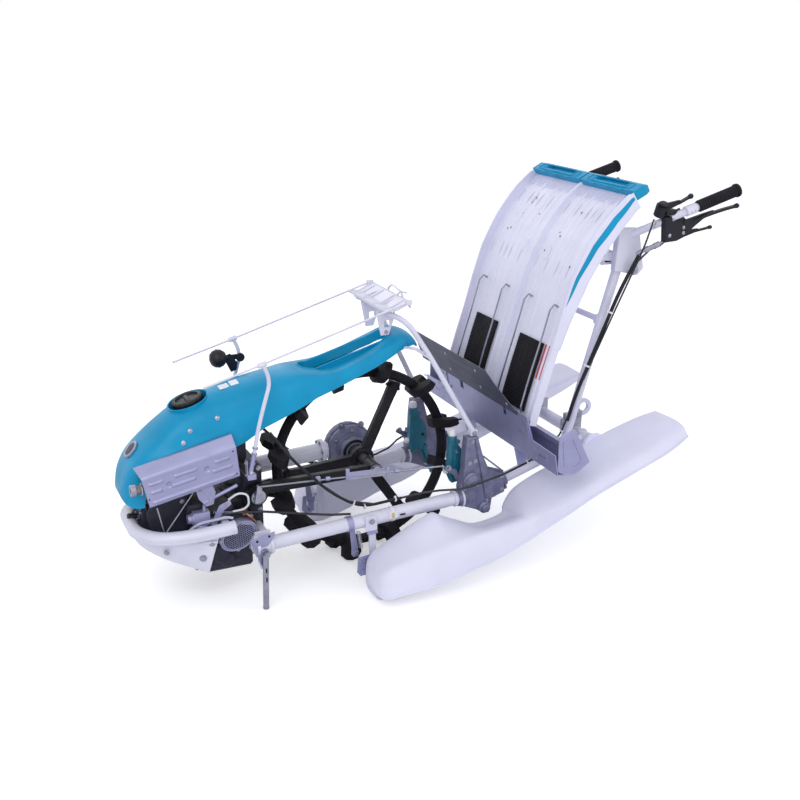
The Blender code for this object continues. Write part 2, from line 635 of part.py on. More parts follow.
def build_drive():
    low, high = CHAIN_CASE_Y
    middle = (low + high) / 2
    pivot = (PIVOT_X, 0.0, PIVOT_Z)
    axle = (0.0, 0.0, AXLE_Z)
    disc = turned(((low, 0.052), (low + 0.006, 0.060), (high - 0.006, 0.060), (high, 0.054)), pivot,
                  (0.0, 1.0, 0.0), 20)
    arm = rod((PIVOT_X - 0.030, middle, PIVOT_Z + 0.0015), (0.020, middle, AXLE_Z - 0.001), 0.0285, 14)
    flange = rod((0.102, middle, 0.325), (0.089, middle, 0.3255), 0.040, 16)
    bore = turned(((-0.17, 0.0223), (-0.05, 0.0223)), pivot, (0.0, 1.0, 0.0), 16)
    wide = clear(GEARCASE_R, 24)
    hole = turned(((-0.20, wide), (0.0, wide)), axle, (0.0, 1.0, 0.0), 24)
    place("chain_case", "white paint", [disc, arm, flange], [bore, hole])

    gear = turned(
        ((-0.158, 0.030), (-0.156, 0.052), (-0.150, 0.074), (-0.144, GEARCASE_R), (-0.098, GEARCASE_R),
         (-0.092, 0.074), (-0.088, 0.050), (-0.066, 0.046), (-0.060, 0.036), (HUB_Y[0] - GAP, 0.034)),
        axle, (0.0, 1.0, 0.0), 24,
    )
    ears = [
        prism(hull_outline(x, z, 0.009, 0.0, AXLE_Z, 0.030, 6), (-0.108, -0.100))
        for x, z in ((0.030, AXLE_Z + 0.082), (-0.042, AXLE_Z + 0.076))
    ]
    place("hub_gearcase", "grey casting", [gear] + ears)

    inner, outer = LEFT_ARM_Y
    corners = ((inner, -0.016), (outer, -0.016), (outer, 0.016), (inner, 0.016))
    bar = loft([[(x, a, z + b) for a, b in corners] for x, z in ((PIVOT_X, 0.330), (0.0, AXLE_Z))])
    front = turned(((inner, 0.034), (outer, 0.034)), pivot, (0.0, 1.0, 0.0), 20)
    rear = turned(((HUB_Y[1] + BOSS_GAP, 0.022), (outer + 0.006, 0.022)), axle, (0.0, 1.0, 0.0), 18)
    eye = turned(((0.05, 0.0223), (0.2, 0.0223)), pivot, (0.0, 1.0, 0.0), 16)
    place("left_wheel_arm", "dark casting", [bar, front, rear], [eye])


# ---------------------------------------------------------------- hood and rack
def hood_ring(row, inset):
    x, top, crease_w, crease_z, low_w, low_z = row
    points = [
        (low_w - inset, low_z),
        ((low_w * 0.45 + crease_w * 0.55) + 0.004 - inset, low_z * 0.45 + crease_z * 0.55),
        (crease_w - inset, crease_z - inset * 0.3),
        (crease_w * 0.80 - inset * 0.5, crease_z * 0.42 + top * 0.58 - inset * 0.9),
        (crease_w * 0.45, crease_z * 0.12 + top * 0.88 - inset),
        (0.0, top - inset),
    ]
    return [Vector((x, y, z)) for y, z in points] + [Vector((x, -y, z)) for y, z in points[-2::-1]]


def hood_skin():
    """The open hood as one closed skin of constant thickness."""
    outer = [hood_ring(row, 0.0) for row in HOOD]
    inner = [hood_ring(row, HOOD_SKIN) for row in HOOD]
    for ring, shift in ((inner[0], -HOOD_SKIN), (inner[-1], HOOD_SKIN)):
        for point in ring:
            point.x += shift
    bm = bmesh.new()
    skins = [[[bm.verts.new(p) for p in ring] for ring in rings] for rings in (outer, inner)]
    count = len(outer[0])
    for rows in skins:
        for first, second in zip(rows, rows[1:]):
            for i in range(count - 1):
                bm.faces.new((first[i], first[i + 1], second[i + 1], second[i]))
        bm.faces.new(rows[0])
        bm.faces.new(rows[-1])
    out, inn = skins
    for i in range(len(HOOD) - 1):
        bm.faces.new((out[i][0], out[i + 1][0], inn[i + 1][0], inn[i][0]))
        bm.faces.new((out[i][-1], out[i + 1][-1], inn[i + 1][-1], inn[i][-1]))
    bm.faces.new((out[0][0], out[0][-1], inn[0][-1], inn[0][0]))
    bm.faces.new((out[-1][0], out[-1][-1], inn[-1][-1], inn[-1][0]))
    bmesh.ops.recalc_face_normals(bm, faces=bm.faces)
    return bm


def build_hood():
    outline = []
    for centre, first, last in ((SLOT_X[0] + SLOT_HALF, 90.0, 270.0), (SLOT_X[1] - SLOT_HALF, -90.0, 90.0)):
        for i in range(8):
            a = math.radians(first + (last - first) * i / 7)
            outline.append((centre + SLOT_HALF * math.cos(a), SLOT_HALF * math.sin(a)))
    slot = loft([[Vector((a, b, level)) for a, b in outline] for level in (0.62, 0.90)])
    filler = turned(((-0.075, FILLER_R), (0.10, FILLER_R)), CAP_TOP, CAP_AXIS, 24)
    ears = both(box((-0.128, -0.112), (0.066, 0.098), (0.7165, 0.7225)))
    place("hood", "teal plastic", [hood_skin()] + ears, [slot, filler], smooth=28.0)

    cap = turned(
        ((-CAP_HEIGHT, CAP_R - 0.003), (0.003 - CAP_HEIGHT, CAP_R), (-0.005, CAP_R), (0.0, CAP_R - 0.005)),
        CAP_TOP, CAP_AXIS, 24,
    )
    place("fuel_cap", "black plastic", [cap])

    tank = loft([
        [Vector((x, s * w, z)) for s, z in ((1, low), (1, high - 0.03), (0.6, high), (-0.6, high),
                                            (-1, high - 0.03), (-1, low))]
        for x, w, low, high in (
            (0.640, 0.080, 0.490, 0.528), (0.600, 0.086, 0.490, 0.556), (0.480, 0.096, 0.510, 0.570),
            (0.390, 0.090, 0.510, 0.585), (0.330, 0.070, 0.555, 0.600),
        )
    ])
    neck = turned(((-0.075, 0.034), (-CAP_HEIGHT - GAP, 0.034)), CAP_TOP, CAP_AXIS, 20)
    place("fuel_tank", "black plastic", [tank, neck])


def build_rack():
    wires = []
    for side, tip in ((1, 0.542), (-1, 0.560)):
        y = side * 0.150
        line = ((tip, y, 0.737 - (tip - 0.370) * 0.273), (0.370, y, 0.737), (-0.100, y, 0.8746))
        wires.append(tube([Vector(p) for p in line], 0.0032, 6))
        wires.append(turned(((-0.004, 0.003), (0.0, 0.0048), (0.004, 0.003)), line[0], (1.0, 0.0, -0.273),
                            8))
    posts = both(tube(rounded(((0.370, POST_Y, 0.741), (0.353, POST_Y, 0.703), (0.351, POST_Y, 0.672),
                               (0.376, POST_Y, 0.592), (0.391, POST_Y, 0.538), (0.410, POST_Y, 0.446),
                               (0.418, POST_Y, 0.412), (0.418, POST_Y, 0.398 + GAP)), 0.02, 2), 0.0062, 8,
                               up=(0.0, 1.0, 0.0)))
    sheet = prism(((-0.022, HEAD_Z + 0.003), (-0.058, HEAD_Z + 0.003), (-0.104, 0.8740), (-0.106, 0.8700),
                   (-0.060, HEAD_Z), (-0.022, HEAD_Z)), (-0.150, 0.150))
    plates = [
        prism(((-0.026, 0.8500), (-0.100, 0.8705), (-0.088, 0.800), (-0.070, 0.7535), (-0.044, 0.7535)),
              (y, y + 0.004))
        for y in (-0.062, 0.058)
    ]
    windows = [
        box((-0.088, -0.060), (-0.10, 0.10), (0.822, 0.838)),
        box((-0.074, -0.056), (-0.10, 0.10), (0.778, 0.800)),
        box((HEAD_X[0] - GAP, HEAD_X[1] + GAP), (-0.10, 0.10),
            (HEAD_Z - 0.010 - 2 * GAP, HEAD_Z - GAP / 2)),
    ]
    hook = ((-0.098, -0.182, 0.818), (-0.106, -0.148, 0.835), (-0.110, -0.082, 0.868),
            (-0.112, -0.040, 0.862),
            (-0.114, -0.035, 0.880), (-0.116, -0.011, 0.894), (-0.116, 0.049, 0.885),
            (-0.116, 0.094, 0.889))
    prong = ((-0.100, 0.050, 0.868), (-0.114, 0.057, 0.890), (-0.112, 0.079, 0.866), (-0.108, 0.145, 0.856),
             (-0.100, 0.149, 0.860))
    bends = [tube(rounded(path, 0.012, 2), 0.0030, 6, up=(1.0, 0.0, 0.0)) for path in (hook, prong)]
    place("mat_rack", "white paint", wires + posts + [sheet] + plates + bends, windows)

    lever_y = -POST_Y + 0.012
    near_post = -POST_Y + 0.0062 + GAP
    plate = prism(((0.366, 0.640), (0.384, 0.634), (0.398, 0.664), (0.398, 0.690), (0.384, 0.694),
                   (0.362, 0.662)),
                  (lever_y, lever_y + 0.005))
    disc = turned(((near_post - lever_y, 0.010), (0.005, 0.014), (0.011, 0.014)), (0.3535, lever_y, 0.680),
                  (0.0, 1.0, 0.0), 12)
    arm = prism(((0.345, 0.672), (0.345, 0.690), (0.400, 0.690), (0.400, 0.676)),
                (lever_y, lever_y + 0.005))
    neck = rod((0.392, lever_y + 0.0025, 0.683), (0.420, lever_y + 0.0025, 0.683), 0.007, 8)
    ball = turned(((-0.026, 0.009), (-0.021, 0.019), (-0.009, 0.0275), (0.003, 0.0285), (0.016, 0.022),
                   (0.024, 0.010)),
                  (0.424, lever_y + 0.0025, 0.683), (0.97, 0.0, -0.10), 16)
    place("lift_lever", "black plastic", [plate, disc, arm, neck, ball])

    strut = tube(rounded(((-0.300, TRACK_Y - 0.005, 0.446), (-0.168, 0.155, 0.697), (-0.112, 0.132, 0.793),
                          (-0.078, 0.125, 0.822),
                          (-0.040, 0.118, 0.838)), 0.03, 2), 0.0085, 8)
    hinge = box((-0.314, -0.288), (TRACK_Y - 0.015, TRACK_Y + 0.007), (0.4305, 0.450), 0.002)
    head = box(HEAD_X, (-0.120, 0.120), (HEAD_Z - 0.010 - GAP, HEAD_Z - GAP), 0.001)
    brace = strip(((-0.172, 0.156, 0.690), (-0.138, 0.118, 0.7137), (-0.114, 0.0878, 0.7137)), 0.016, 0.005)
    place("rear_struts", "white paint", [head] + both(strut, hinge, brace))


# ---------------------------------------------------------------- planting gear
def build_planting():
    plate = prism(CASE_OUTLINE, (TRACK_Y - 0.020, TRACK_Y + 0.018), 0.004)
    rib = prism(((-0.296, 0.425), (-0.306, 0.425), (-0.372, 0.215), (-0.340, 0.215)),
                (TRACK_Y + 0.014, TRACK_Y + 0.024))
    boss = turned(((0.0, 0.018), (0.005, 0.018), (0.006, 0.030), (0.054, 0.030), (0.060, 0.022)),
                  (CRANK_X, CRANK_Y + 0.0093, CRANK_Z), (0.0, 1.0, 0.0), 20)
    collar = turned(((0.0, 0.028), (0.026, 0.028)), (-0.2705, TRACK_Y, 0.2260), (1.0, 0.0, -0.0505), 18)
    low = turned(((0.0, 0.020), (0.048, 0.020), (0.054, 0.012)), (-0.336, TRACK_Y - 0.025, 0.183),
                 (0.0, 1.0, 0.0), 16)
    socket = turned(((0.0, 0.024), (0.030, 0.024)), (-0.400, TRACK_Y - 0.0198, 0.2467), (-1.0, 0.0, 0.27),
                    16)
    lever = prism(((-0.262, 0.290), (-0.250, 0.315), (-0.212, 0.333), (-0.206, 0.322), (-0.240, 0.300),
                   (-0.250, 0.280)),
                  (TRACK_Y - 0.0215, TRACK_Y - 0.015))
    wide = clear(TUBE_R, 16)
    tube_end = turned(((-GAP, wide), (0.30, wide)), (TUBE_REAR[0], TRACK_Y, TUBE_REAR[1]),
                      (1.0, 0.0, -0.0506), 16)
    place_pair("planter_case", "grey casting", [plate, rib, boss, collar, low, socket, lever],
               [tube_end, rear_tube_bore()])

    end_z = CRANK_Z + CRANK_THROW
    disc = turned(((0.0, 0.020), (0.010, 0.020)), (CRANK_X, CRANK_Y - 0.0010, CRANK_Z), (0.0, 1.0, 0.0), 18)
    web = prism(hull_outline(CRANK_X, end_z, 0.012, CRANK_X, CRANK_Z, 0.018),
                (CRANK_Y - 0.0005, CRANK_Y + 0.0070))
    pin = pinned(CRANK_X, (ARM_Y - 0.013, CRANK_Y + 0.006), end_z, 0.0065, 12)
    place_pair("planter_crank", "black steel", [disc, web, pin], axis=(CRANK_X, CRANK_Y, CRANK_Z))

    body = prism(((-0.240, 0.396), (-0.266, 0.396), (-0.300, 0.345), (-0.303, 0.300), (-0.282, 0.262),
                  (-0.250, 0.258),
                  (-0.236, 0.290)), (ARM_Y - 0.0155, ARM_Y + 0.0155), 0.005)
    top = turned(((0.0, 0.0155), (0.026, 0.0155), (0.032, 0.011)), (-0.254, ARM_Y, 0.388), (0.0, 0.0, 1.0),
                 12)
    wide = clear(0.0065, 12)
    eye = turned(((0.1, wide), (0.2, wide)), (CRANK_X, 0.0, end_z), (0.0, 1.0, 0.0), 12)
    rod_push = rod((-0.283, ARM_Y, 0.275), (-0.303, ARM_Y, 0.205), 0.0045, 8)
    claws = [
        prism(((-0.286, 0.270), (-0.300, 0.272), (-0.330, 0.190), (-0.331, 0.160), (-0.326, 0.160),
               (-0.318, 0.192)),
              (y, y + 0.0035))
        for y in (ARM_Y - 0.0115, ARM_Y + 0.008)
    ]
    bridge = box((-0.305, -0.275), (ARM_Y - 0.0115, ARM_Y + 0.0115), (0.262, 0.276), 0.002)
    place_pair("planting_arm", "teal plastic", [body, top, rod_push, bridge] + claws, [eye],
               axis=(CRANK_X, ARM_Y, end_z))


# ---------------------------------------------------------------- tray and guide
def guide_section(y, top_z):
    """Section of the guide channel: front plate up to top_z, floor and rear upstand."""
    lean = 0.178
    knee = min(0.500, top_z - 0.002)
    knee_x = -0.438 - (0.500 - knee) * lean
    top_x = knee_x + (top_z - knee) * (0.36 if top_z > 0.500 else lean)
    outline = ((top_x, top_z), (knee_x, knee), (-0.4635, 0.357), (-0.522, 0.350), (-0.522, 0.440),
               (-0.519, 0.440),
               (-0.519, 0.3535), (-0.466, 0.3600), (knee_x - 0.0035, knee), (top_x - 0.0035, top_z))
    return [Vector((x, y, z)) for x, z in outline]


def build_guide():
    tops = ((0.0, 0.520), (0.068, 0.543), (0.190, 0.508), (0.300, 0.500), (0.316, 0.430),
            (GUIDE_HALF, 0.425))
    far_tops = [(-y, z) for y, z in tops[:2:-1]] + [(-0.068, 0.520)]
    front = loft([guide_section(y, z) for y, z in far_tops + list(tops)])
    rail = box((-0.526, -0.508), (-GUIDE_HALF, GUIDE_HALF), (0.424, 0.440))
    end_plate = ((-0.468, 0.482), (-0.518, 0.500), (-0.577, 0.384), (-0.524, 0.3505), (-0.500, 0.3530),
                 (-0.4660, 0.3705))
    ends = both(prism(end_plate, (GUIDE_HALF - 0.004, GUIDE_HALF)))
    trough = both(prism(((-0.4560, 0.4000), (-0.4680, 0.3555), (-0.530, 0.3300), (-0.530, 0.3490),
                         (-0.474, 0.4040)),
                        (0.312, 0.316)))
    plates = both(prism(((-0.4415, 0.4860), (-0.4540, 0.4160), (-0.4510, 0.4140), (-0.4378, 0.4860)),
                        (0.262, 0.298)))
    legs = both(prism(((-0.466, 0.362), (-0.514, 0.354), (-0.520, 0.296), (-0.484, 0.288)),
                      (TRACK_Y - 0.029, TRACK_Y - 0.021)))
    ports = [box((-0.48, -0.42), (s * ROW_Y - 0.012, s * ROW_Y + 0.012), (0.462, 0.560)) for s in (-1, 1)]
    place("seedling_guide", "silver sheet", [front, rail] + ends + trough + plates + legs,
          ports + both(rear_tube_bore(0.1)))

    shield_tops = ((-GUIDE_HALF, 0.605), (0.100, 0.605), (0.139, 0.570), (0.240, 0.505))
    shield = loft([
        [Vector(p) for p in ((-0.4392, y, 0.492), (-0.4362, y, 0.491),
                             (-0.4362 + (z - 0.491) * 0.38, y, z - 0.001),
                             (-0.4392 + (z - 0.491) * 0.38, y, z))]
        for y, z in shield_tops
    ])
    place("guide_shield", "dark casting", [shield])

    shaft_end = TRACK_Y - 0.0461
    shaft = pinned(-0.575, (-shaft_end, shaft_end), 0.292, 0.011, 12)
    worm = pinned(-0.575, (-0.090, 0.090), 0.292, 0.016, 14)
    housing = box((-0.612, -0.545), (TRACK_Y - 0.110, TRACK_Y - 0.055), (0.262, 0.345), 0.005)
    place("feed_shaft", "steel", [shaft, worm, housing])


def tray_section():
    """Section of the tray across its width: (y, height above the floor), walls, rib and flutes."""
    inside = TRAY_HALF - 0.0035
    half = [(TRAY_HALF, -0.0035), (TRAY_HALF, TRAY_WALL), (inside, TRAY_WALL), (inside, 0.0)]
    for centre in (TRAY_HALF - 0.057, TRAY_HALF - 0.107, 0.110, 0.060):
        half += [(centre + 0.006, 0.0), (centre + 0.003, 0.0035), (centre - 0.003, 0.0035),
                 (centre - 0.006, 0.0)]
    half += [(0.008, 0.0), (0.005, 0.015)]
    return half + [(-y, n) for y, n in reversed(half)]


def tray_rings(section, fractions):
    rings = []
    for fraction in fractions:
        before = along_line(TRAY_LINE, max(0.0, fraction - 0.03))[1]
        after = along_line(TRAY_LINE, min(1.0, fraction + 0.03))[1]
        point = along_line(TRAY_LINE, fraction)[0]
        normal = (before + after).normalized()
        rings.append([point + normal * n + Vector((0.0, y, 0.0)) for y, n in section])
    return rings


def build_tray():
    axis = (-0.5, 0.0, 0.6)
    steps = 12
    cap_start = 0.935
    shell = loft(tray_rings(tray_section(), [cap_start * i / steps for i in range(steps + 1)]))
    shoes = []
    for y in (-0.070, 0.070):
        shoes.append(prism(((-0.484, 0.500), (-0.478, 0.470), (-0.497, 0.4405 + GAP),
                            (-0.520, 0.4405 + GAP),
                            (-0.520, 0.455)), (y - 0.02, y + 0.02)))
        shoes.append(prism(((-0.636, 0.985), (-0.622, 0.950), (-0.690, 0.954), (-0.690, 0.978)),
                           (y - 0.012, y + 0.012)))
    place("seedling_tray", "white plastic", [shell] + shoes, axis=axis)

    start = cap_start + 0.0006
    wide, narrow = TRAY_HALF + 0.003, TRAY_HALF - 0.006
    cap_ring = [(-wide, -0.006), (wide, -0.006), (wide, TRAY_WALL + 0.006), (-wide, TRAY_WALL + 0.006)]
    last_ring = [(-narrow, -0.006), (narrow, -0.006), (narrow, 0.016), (-narrow, 0.016)]
    rings = tray_rings(cap_ring, (start, 0.978)) + tray_rings(last_ring, (1.0,))
    cuts = []
    for centre in (-ROW_Y, ROW_Y):
        low, high = centre - 0.085, centre + 0.085
        cuts.append(loft(tray_rings([(low, 0.012), (high, 0.012), (high, 0.060), (low, 0.060)],
                                    (0.952, 0.985))))
    cuts.append(loft(tray_rings([(-0.004, 0.006), (0.004, 0.006), (0.004, 0.060), (-0.004, 0.060)],
                                (0.92, 0.96, 1.0))))
    place("tray_cap", "teal plastic", [loft(rings)], cuts, axis=axis)

    belt_y = TRAY_HALF / 2
    for side, y in (("left", belt_y), ("right", -belt_y)):
        section = [(y - 0.072, 0.0038), (y + 0.072, 0.0038), (y + 0.072, 0.0085), (y - 0.072, 0.0085)]
        place("feed_belt_" + side, "black rubber",
              [loft(tray_rings(section, [0.03 + 0.27 * i / 5 for i in range(6)]))], axis=axis)

    foot_height, height, top = 0.0195, 0.028, 0.43
    rods = []
    for y in (TRAY_HALF - 0.065, 0.075, -0.075, 0.065 - TRAY_HALF):
        path = [tray_rings([(y, foot_height)], (0.012,))[0][0]]
        path += [ring[0] for ring in tray_rings([(y, height)],
                                                [0.05 + (top - 0.05) * i / 5 for i in range(6)])]
        path.append(path[-1] + Vector((-0.016, 0.0, 0.016)))
        rods.append(tube(path, 0.0032, 6, up=(0.0, 1.0, 0.0)))
    reach = TRAY_HALF - 0.0038
    foot = tray_rings([(-reach, foot_height), (reach, foot_height)], (0.012,))[0]
    place("mat_rods", "steel", [rod(foot[0], foot[1], 0.004, 8)] + rods, axis=axis)


# ---------------------------------------------------------------- floats, stand, controls, cables
def float_ring(row):
    x, inner, outer, low, lip, rim, ridge, top = row
    inner, outer = TRACK_Y + inner, TRACK_Y + outer
    points = (
        (inner + 0.018, low),
        (outer - (outer - inner) * 0.42, low),
        (outer - 0.006, lip),
        (outer, rim - (rim - lip) * 0.35),
        (outer - 0.004, rim),
        (outer - 0.026, ridge),
        (inner + (outer - inner) * 0.62, ridge * 0.7 + top * 0.3 + 0.006),
        (inner + (outer - inner) * 0.25, top),
        (inner + 0.006, top - (top - low) * 0.12),
        (inner, low + (top - low) * 0.30),
    )
    return [Vector((x, y, z)) for y, z in points]


def build_floats():
    hull = loft([float_ring(row) for row in FLOAT])
    ear = prism(((-0.775, 0.330), (-0.775, 0.372), (-0.723, 0.372), (-0.700, 0.320)),
                (TRACK_Y + 0.0095, TRACK_Y + 0.0245))
    nose = box((0.044, 0.080), (STAND_Y - 0.0085, STAND_Y + 0.020), (0.042, 0.086), 0.003)
    hollow = []
    for row in FLOAT[1:-1]:
        ring = float_ring(row)
        middle = sum(ring, Vector()) / len(ring)
        for point in ring:
            side, rise = point.y - middle.y, point.z - middle.z
            point.y -= math.copysign(min(abs(side), 0.004), side)
            point.z -= math.copysign(min(abs(rise), 0.004), rise)
        hollow.append(ring)
    drain = rod((-0.85, 0.330, 0.30), (-0.85, 0.330, 0.358), 0.006, 8)
    place_pair("float", "white plastic", [hull, ear, nose], [loft(hollow), drain], smooth=40.0)

    inner = TRACK_Y + TUBE_R + GAP
    clip = box((0.046, 0.084), (inner + 0.0005, inner + 0.0065), (0.180, 0.232), 0.001)
    bolt = pinned(0.065, (inner + 0.006, inner + 0.0105), 0.214, 0.007, 10)
    link = prism(((0.052, 0.215), (0.074, 0.215), (0.073, 0.046), (0.051, 0.046)),
                 (inner + 0.0012, inner + 0.0072))
    pin = pinned(0.062, (inner + 0.0017, inner + 0.0109), 0.062, 0.006, 10)
    place_pair("float_link", "white paint", [clip, bolt, link, pin])


def build_stand():
    leg = rod((STAND_X, STAND_Y, STAND_Z), (STAND_X + 0.006, STAND_Y, 0.0), STAND_R, 14)
    knuckle = turned(((-0.009, 0.013), (0.009, 0.013)), (STAND_X, STAND_Y, STAND_Z), (0.0, 1.0, 0.0), 16)
    bore = turned(((-0.03, 0.0043), (0.03, 0.0043)), (STAND_X, STAND_Y, STAND_Z), (0.0, 1.0, 0.0), 10)
    ground = box((0.3, 0.5), (STAND_Y - 0.05, STAND_Y + 0.05), (-0.1, 0.0))
    place("stand_leg", "steel", [leg, knuckle], [bore, ground], axis=(STAND_X, STAND_Y, STAND_Z))


def build_controls():
    grip_start, grip_end = Vector((-1.010, GRIP_Y, 1.12678)), Vector((-1.165, GRIP_Y, 1.16995))
    along = (grip_end - grip_start).normalized()
    length = (grip_end - grip_start).length
    profile = [(0.0, 0.016), (0.004, 0.0175)]
    profile += [(length - 0.012, 0.0175), (length - 0.008, 0.0225), (length, 0.0215)]
    grip = turned(profile, grip_start, along, 14)
    bore = turned(((-0.02, clear(0.0127, 14)), (length - 0.006, clear(0.0127, 14))), grip_start, along, 14)
    place_pair("grip", "black rubber", [grip], [bore])

    clamp = turned(((-0.014, 0.021), (0.034, 0.021)), (-0.945, 0.2915, 1.090), (-0.100, 0.066, 0.062), 16)
    body = prism(((-0.905, 1.098), (-0.966, 1.104), (-0.992, 1.082), (-0.988, 1.032), (-0.955, 1.020),
                  (-0.911, 1.018)),
                 (0.286, 0.312), 0.003)
    lever = strip(rounded(((-0.980, 0.305, 1.066), (-1.045, 0.316, 1.092), (-1.110, 0.322, 1.109),
                           (-1.166, 0.326, 1.119)), 0.05), 0.014, 0.008)
    low_lever = strip(((-0.980, 0.300, 1.046), (-1.030, 0.306, 1.046), (-1.076, 0.310, 1.054)), 0.010,
                      0.006)
    drum = turned(((-0.016, 0.020), (0.020, 0.020)), (-0.900, 0.292, 1.116), (0.0, 0.4, 1.0), 14)
    thumb = strip(((-0.896, 0.300, 1.132), (-0.950, 0.312, 1.140), (-0.992, 0.312, 1.158)), 0.012, 0.007)
    hole = tube(handle_path(), clear(0.0125, 12), 12, up=(0.0, 1.0, 0.0))
    place("control_left", "black plastic", [clamp, body, lever, low_lever, drum, thumb], [hole])
    place("control_right", "black plastic", [mirrored(shape) for shape in (clamp, body, lever)],
          [mirrored(hole)])


def cable(name, points, radius=0.0035):
    curve = bpy.data.curves.new(name, "CURVE")
    curve.dimensions = "3D"
    curve.bevel_depth = radius
    curve.bevel_resolution = 2
    curve.use_fill_caps = True
    spline = curve.splines.new("POLY")
    path = rounded(points, 0.05, 1)
    spline.points.add(len(path) - 1)
    for point, place_at in zip(spline.points, path):
        point.co = (place_at.x + AXLE_X, place_at.y, place_at.z, 1.0)
    curve.materials.append(finish_material(name, "black plastic"))
    obj = bpy.data.objects.new(name, curve)
    bpy.context.scene.collection.objects.link(obj)
    return obj


def build_cables():
    run = [
        (0.352, 0.1400, 0.520), (0.300, 0.172, 0.440), (0.180, TRACK_Y - 0.027, 0.310),
        (0.080, TRACK_Y - 0.025, 0.2415), (-0.060, TRACK_Y - 0.025, 0.2485),
        (-0.160, TRACK_Y - 0.021, 0.2560), (-0.215, TRACK_Y + 0.020, 0.266),
        (-0.250, TRACK_Y + 0.047, 0.274), (-0.330, TRACK_Y + 0.049, 0.290),
        (-0.440, TRACK_Y + 0.035, 0.302), (-0.600, TRACK_Y, 0.345), (-0.648, TRACK_Y + 0.005, 0.430),
        (-0.672, TRACK_Y + 0.011, 0.520), (-0.795, 0.248, 0.860), (-0.850, 0.262, 0.975),
        (-0.9145, 0.297, 1.0145),
    ]
    cable("cable_left", run)
    cable("cable_right", [(a, -b, c) for a, b, c in run])
    cable("cable_throttle", [
        (-0.690, 0.2275, 0.570), (-0.805, 0.2560, 0.860), (-0.846, 0.282, 0.985), (-0.862, 0.292, 1.050),
        (-0.876, 0.292, 1.092),
    ], 0.003)
    cable("cable_engine", [
        (0.520, 0.1243, 0.275), (0.480, 0.1243, 0.277), (0.337, TRACK_Y - 0.045, 0.2700),
        (0.230, TRACK_Y - 0.020, 0.2450), (0.120, TRACK_Y - 0.009, 0.2340),
    ], 0.004)

    link = rod((0.395, 0.140, 0.352), (-0.214, 0.168, 0.3265), 0.003, 8)
    pin = pinned(-0.211, (0.167, TRACK_Y - 0.0218), 0.3265, 0.004, 8)
    plate = strip(((0.116, 0.1530, 0.3405), (-0.020, 0.1590, 0.3350)), 0.003, 0.020)
    lever = prism(((0.398, 0.360), (0.384, 0.346), (0.394, 0.300), (0.408, 0.300)), (0.1345, 0.1445))
    collar = pinned(0.398, (0.1225, 0.1440), 0.310, 0.010, 12)
    place("shift_rod", "steel", [link, pin, plate, lever, collar])


def main():
    for obj in list(bpy.data.objects):
        bpy.data.objects.remove(obj)
    build_wheel()
    build_frame()
    build_engine()
    build_drive()
    build_hood()
    build_rack()
    build_planting()
    build_guide()
    build_tray()
    build_floats()
    build_stand()
    build_controls()
    build_cables()


main()
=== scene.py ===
"""Finishes and fittings of a two-row walk-behind rice transplanter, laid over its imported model.

Metres, +X forward, +Y the operator's left, +Z up. Lengths along X are written from the wheel axle,
and at() turns them into places in the model.
"""

import json
import math

import bmesh
import bpy
from bpy.props import FloatProperty, FloatVectorProperty, IntProperty, PointerProperty
from mathutils import Matrix, Vector
from mathutils.bvhtree import BVHTree


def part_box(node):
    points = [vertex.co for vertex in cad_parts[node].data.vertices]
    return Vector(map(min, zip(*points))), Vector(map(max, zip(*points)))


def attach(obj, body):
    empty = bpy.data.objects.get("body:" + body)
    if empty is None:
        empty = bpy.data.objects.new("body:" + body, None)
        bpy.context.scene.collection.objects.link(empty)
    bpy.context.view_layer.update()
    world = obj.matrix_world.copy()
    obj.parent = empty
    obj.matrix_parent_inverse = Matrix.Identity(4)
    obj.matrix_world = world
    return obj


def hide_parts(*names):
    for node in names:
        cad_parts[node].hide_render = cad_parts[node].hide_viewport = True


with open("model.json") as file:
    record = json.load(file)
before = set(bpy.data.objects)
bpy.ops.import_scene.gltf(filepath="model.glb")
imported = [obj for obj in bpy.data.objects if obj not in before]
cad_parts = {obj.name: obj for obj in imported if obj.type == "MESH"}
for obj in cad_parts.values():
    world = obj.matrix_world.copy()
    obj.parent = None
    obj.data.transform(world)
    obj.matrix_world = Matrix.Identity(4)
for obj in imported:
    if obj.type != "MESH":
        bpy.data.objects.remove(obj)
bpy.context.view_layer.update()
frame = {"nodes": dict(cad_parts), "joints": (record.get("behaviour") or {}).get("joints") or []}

bl_info = {
    "name": "Rice transplanter",
    "version": (1, 0, 0),
    "blender": (4, 5, 0),
    "location": "View3D > Sidebar > Transplanter",
    "description": "Finishes, fittings and studio of a two-row walk-behind rice transplanter",
    "category": "Object",
}

NODES = frame["nodes"]
JOINTS = {joint["name"]: Vector(joint["pos_m"]) for joint in frame["joints"] if "pos_m" in joint}
AXLE = JOINTS["wheel_spin"]
CRANK = JOINTS["crank_left_spin"]
TRACK_Y = CRANK.y + 0.035
ARM_Y = JOINTS["arm_left_pivot"].y
STAND_Y = JOINTS["stand_fold"].y
TRAY_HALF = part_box("seedling_tray")[1].y
GUIDE_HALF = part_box("seedling_guide")[1].y

# Directions of the machine.
AHEAD, LEFT, UP = (1.0, 0.0, 0.0), (0.0, 1.0, 0.0), (0.0, 0.0, 1.0)
BACK, RIGHT, DOWN = (-1.0, 0.0, 0.0), (0.0, -1.0, 0.0), (0.0, 0.0, -1.0)
# The frame tubes fall slightly towards the front.
TUBE_RUN, TUBE_BACK = (1.0, 0.0, -0.0505), (-1.0, 0.0, 0.0505)

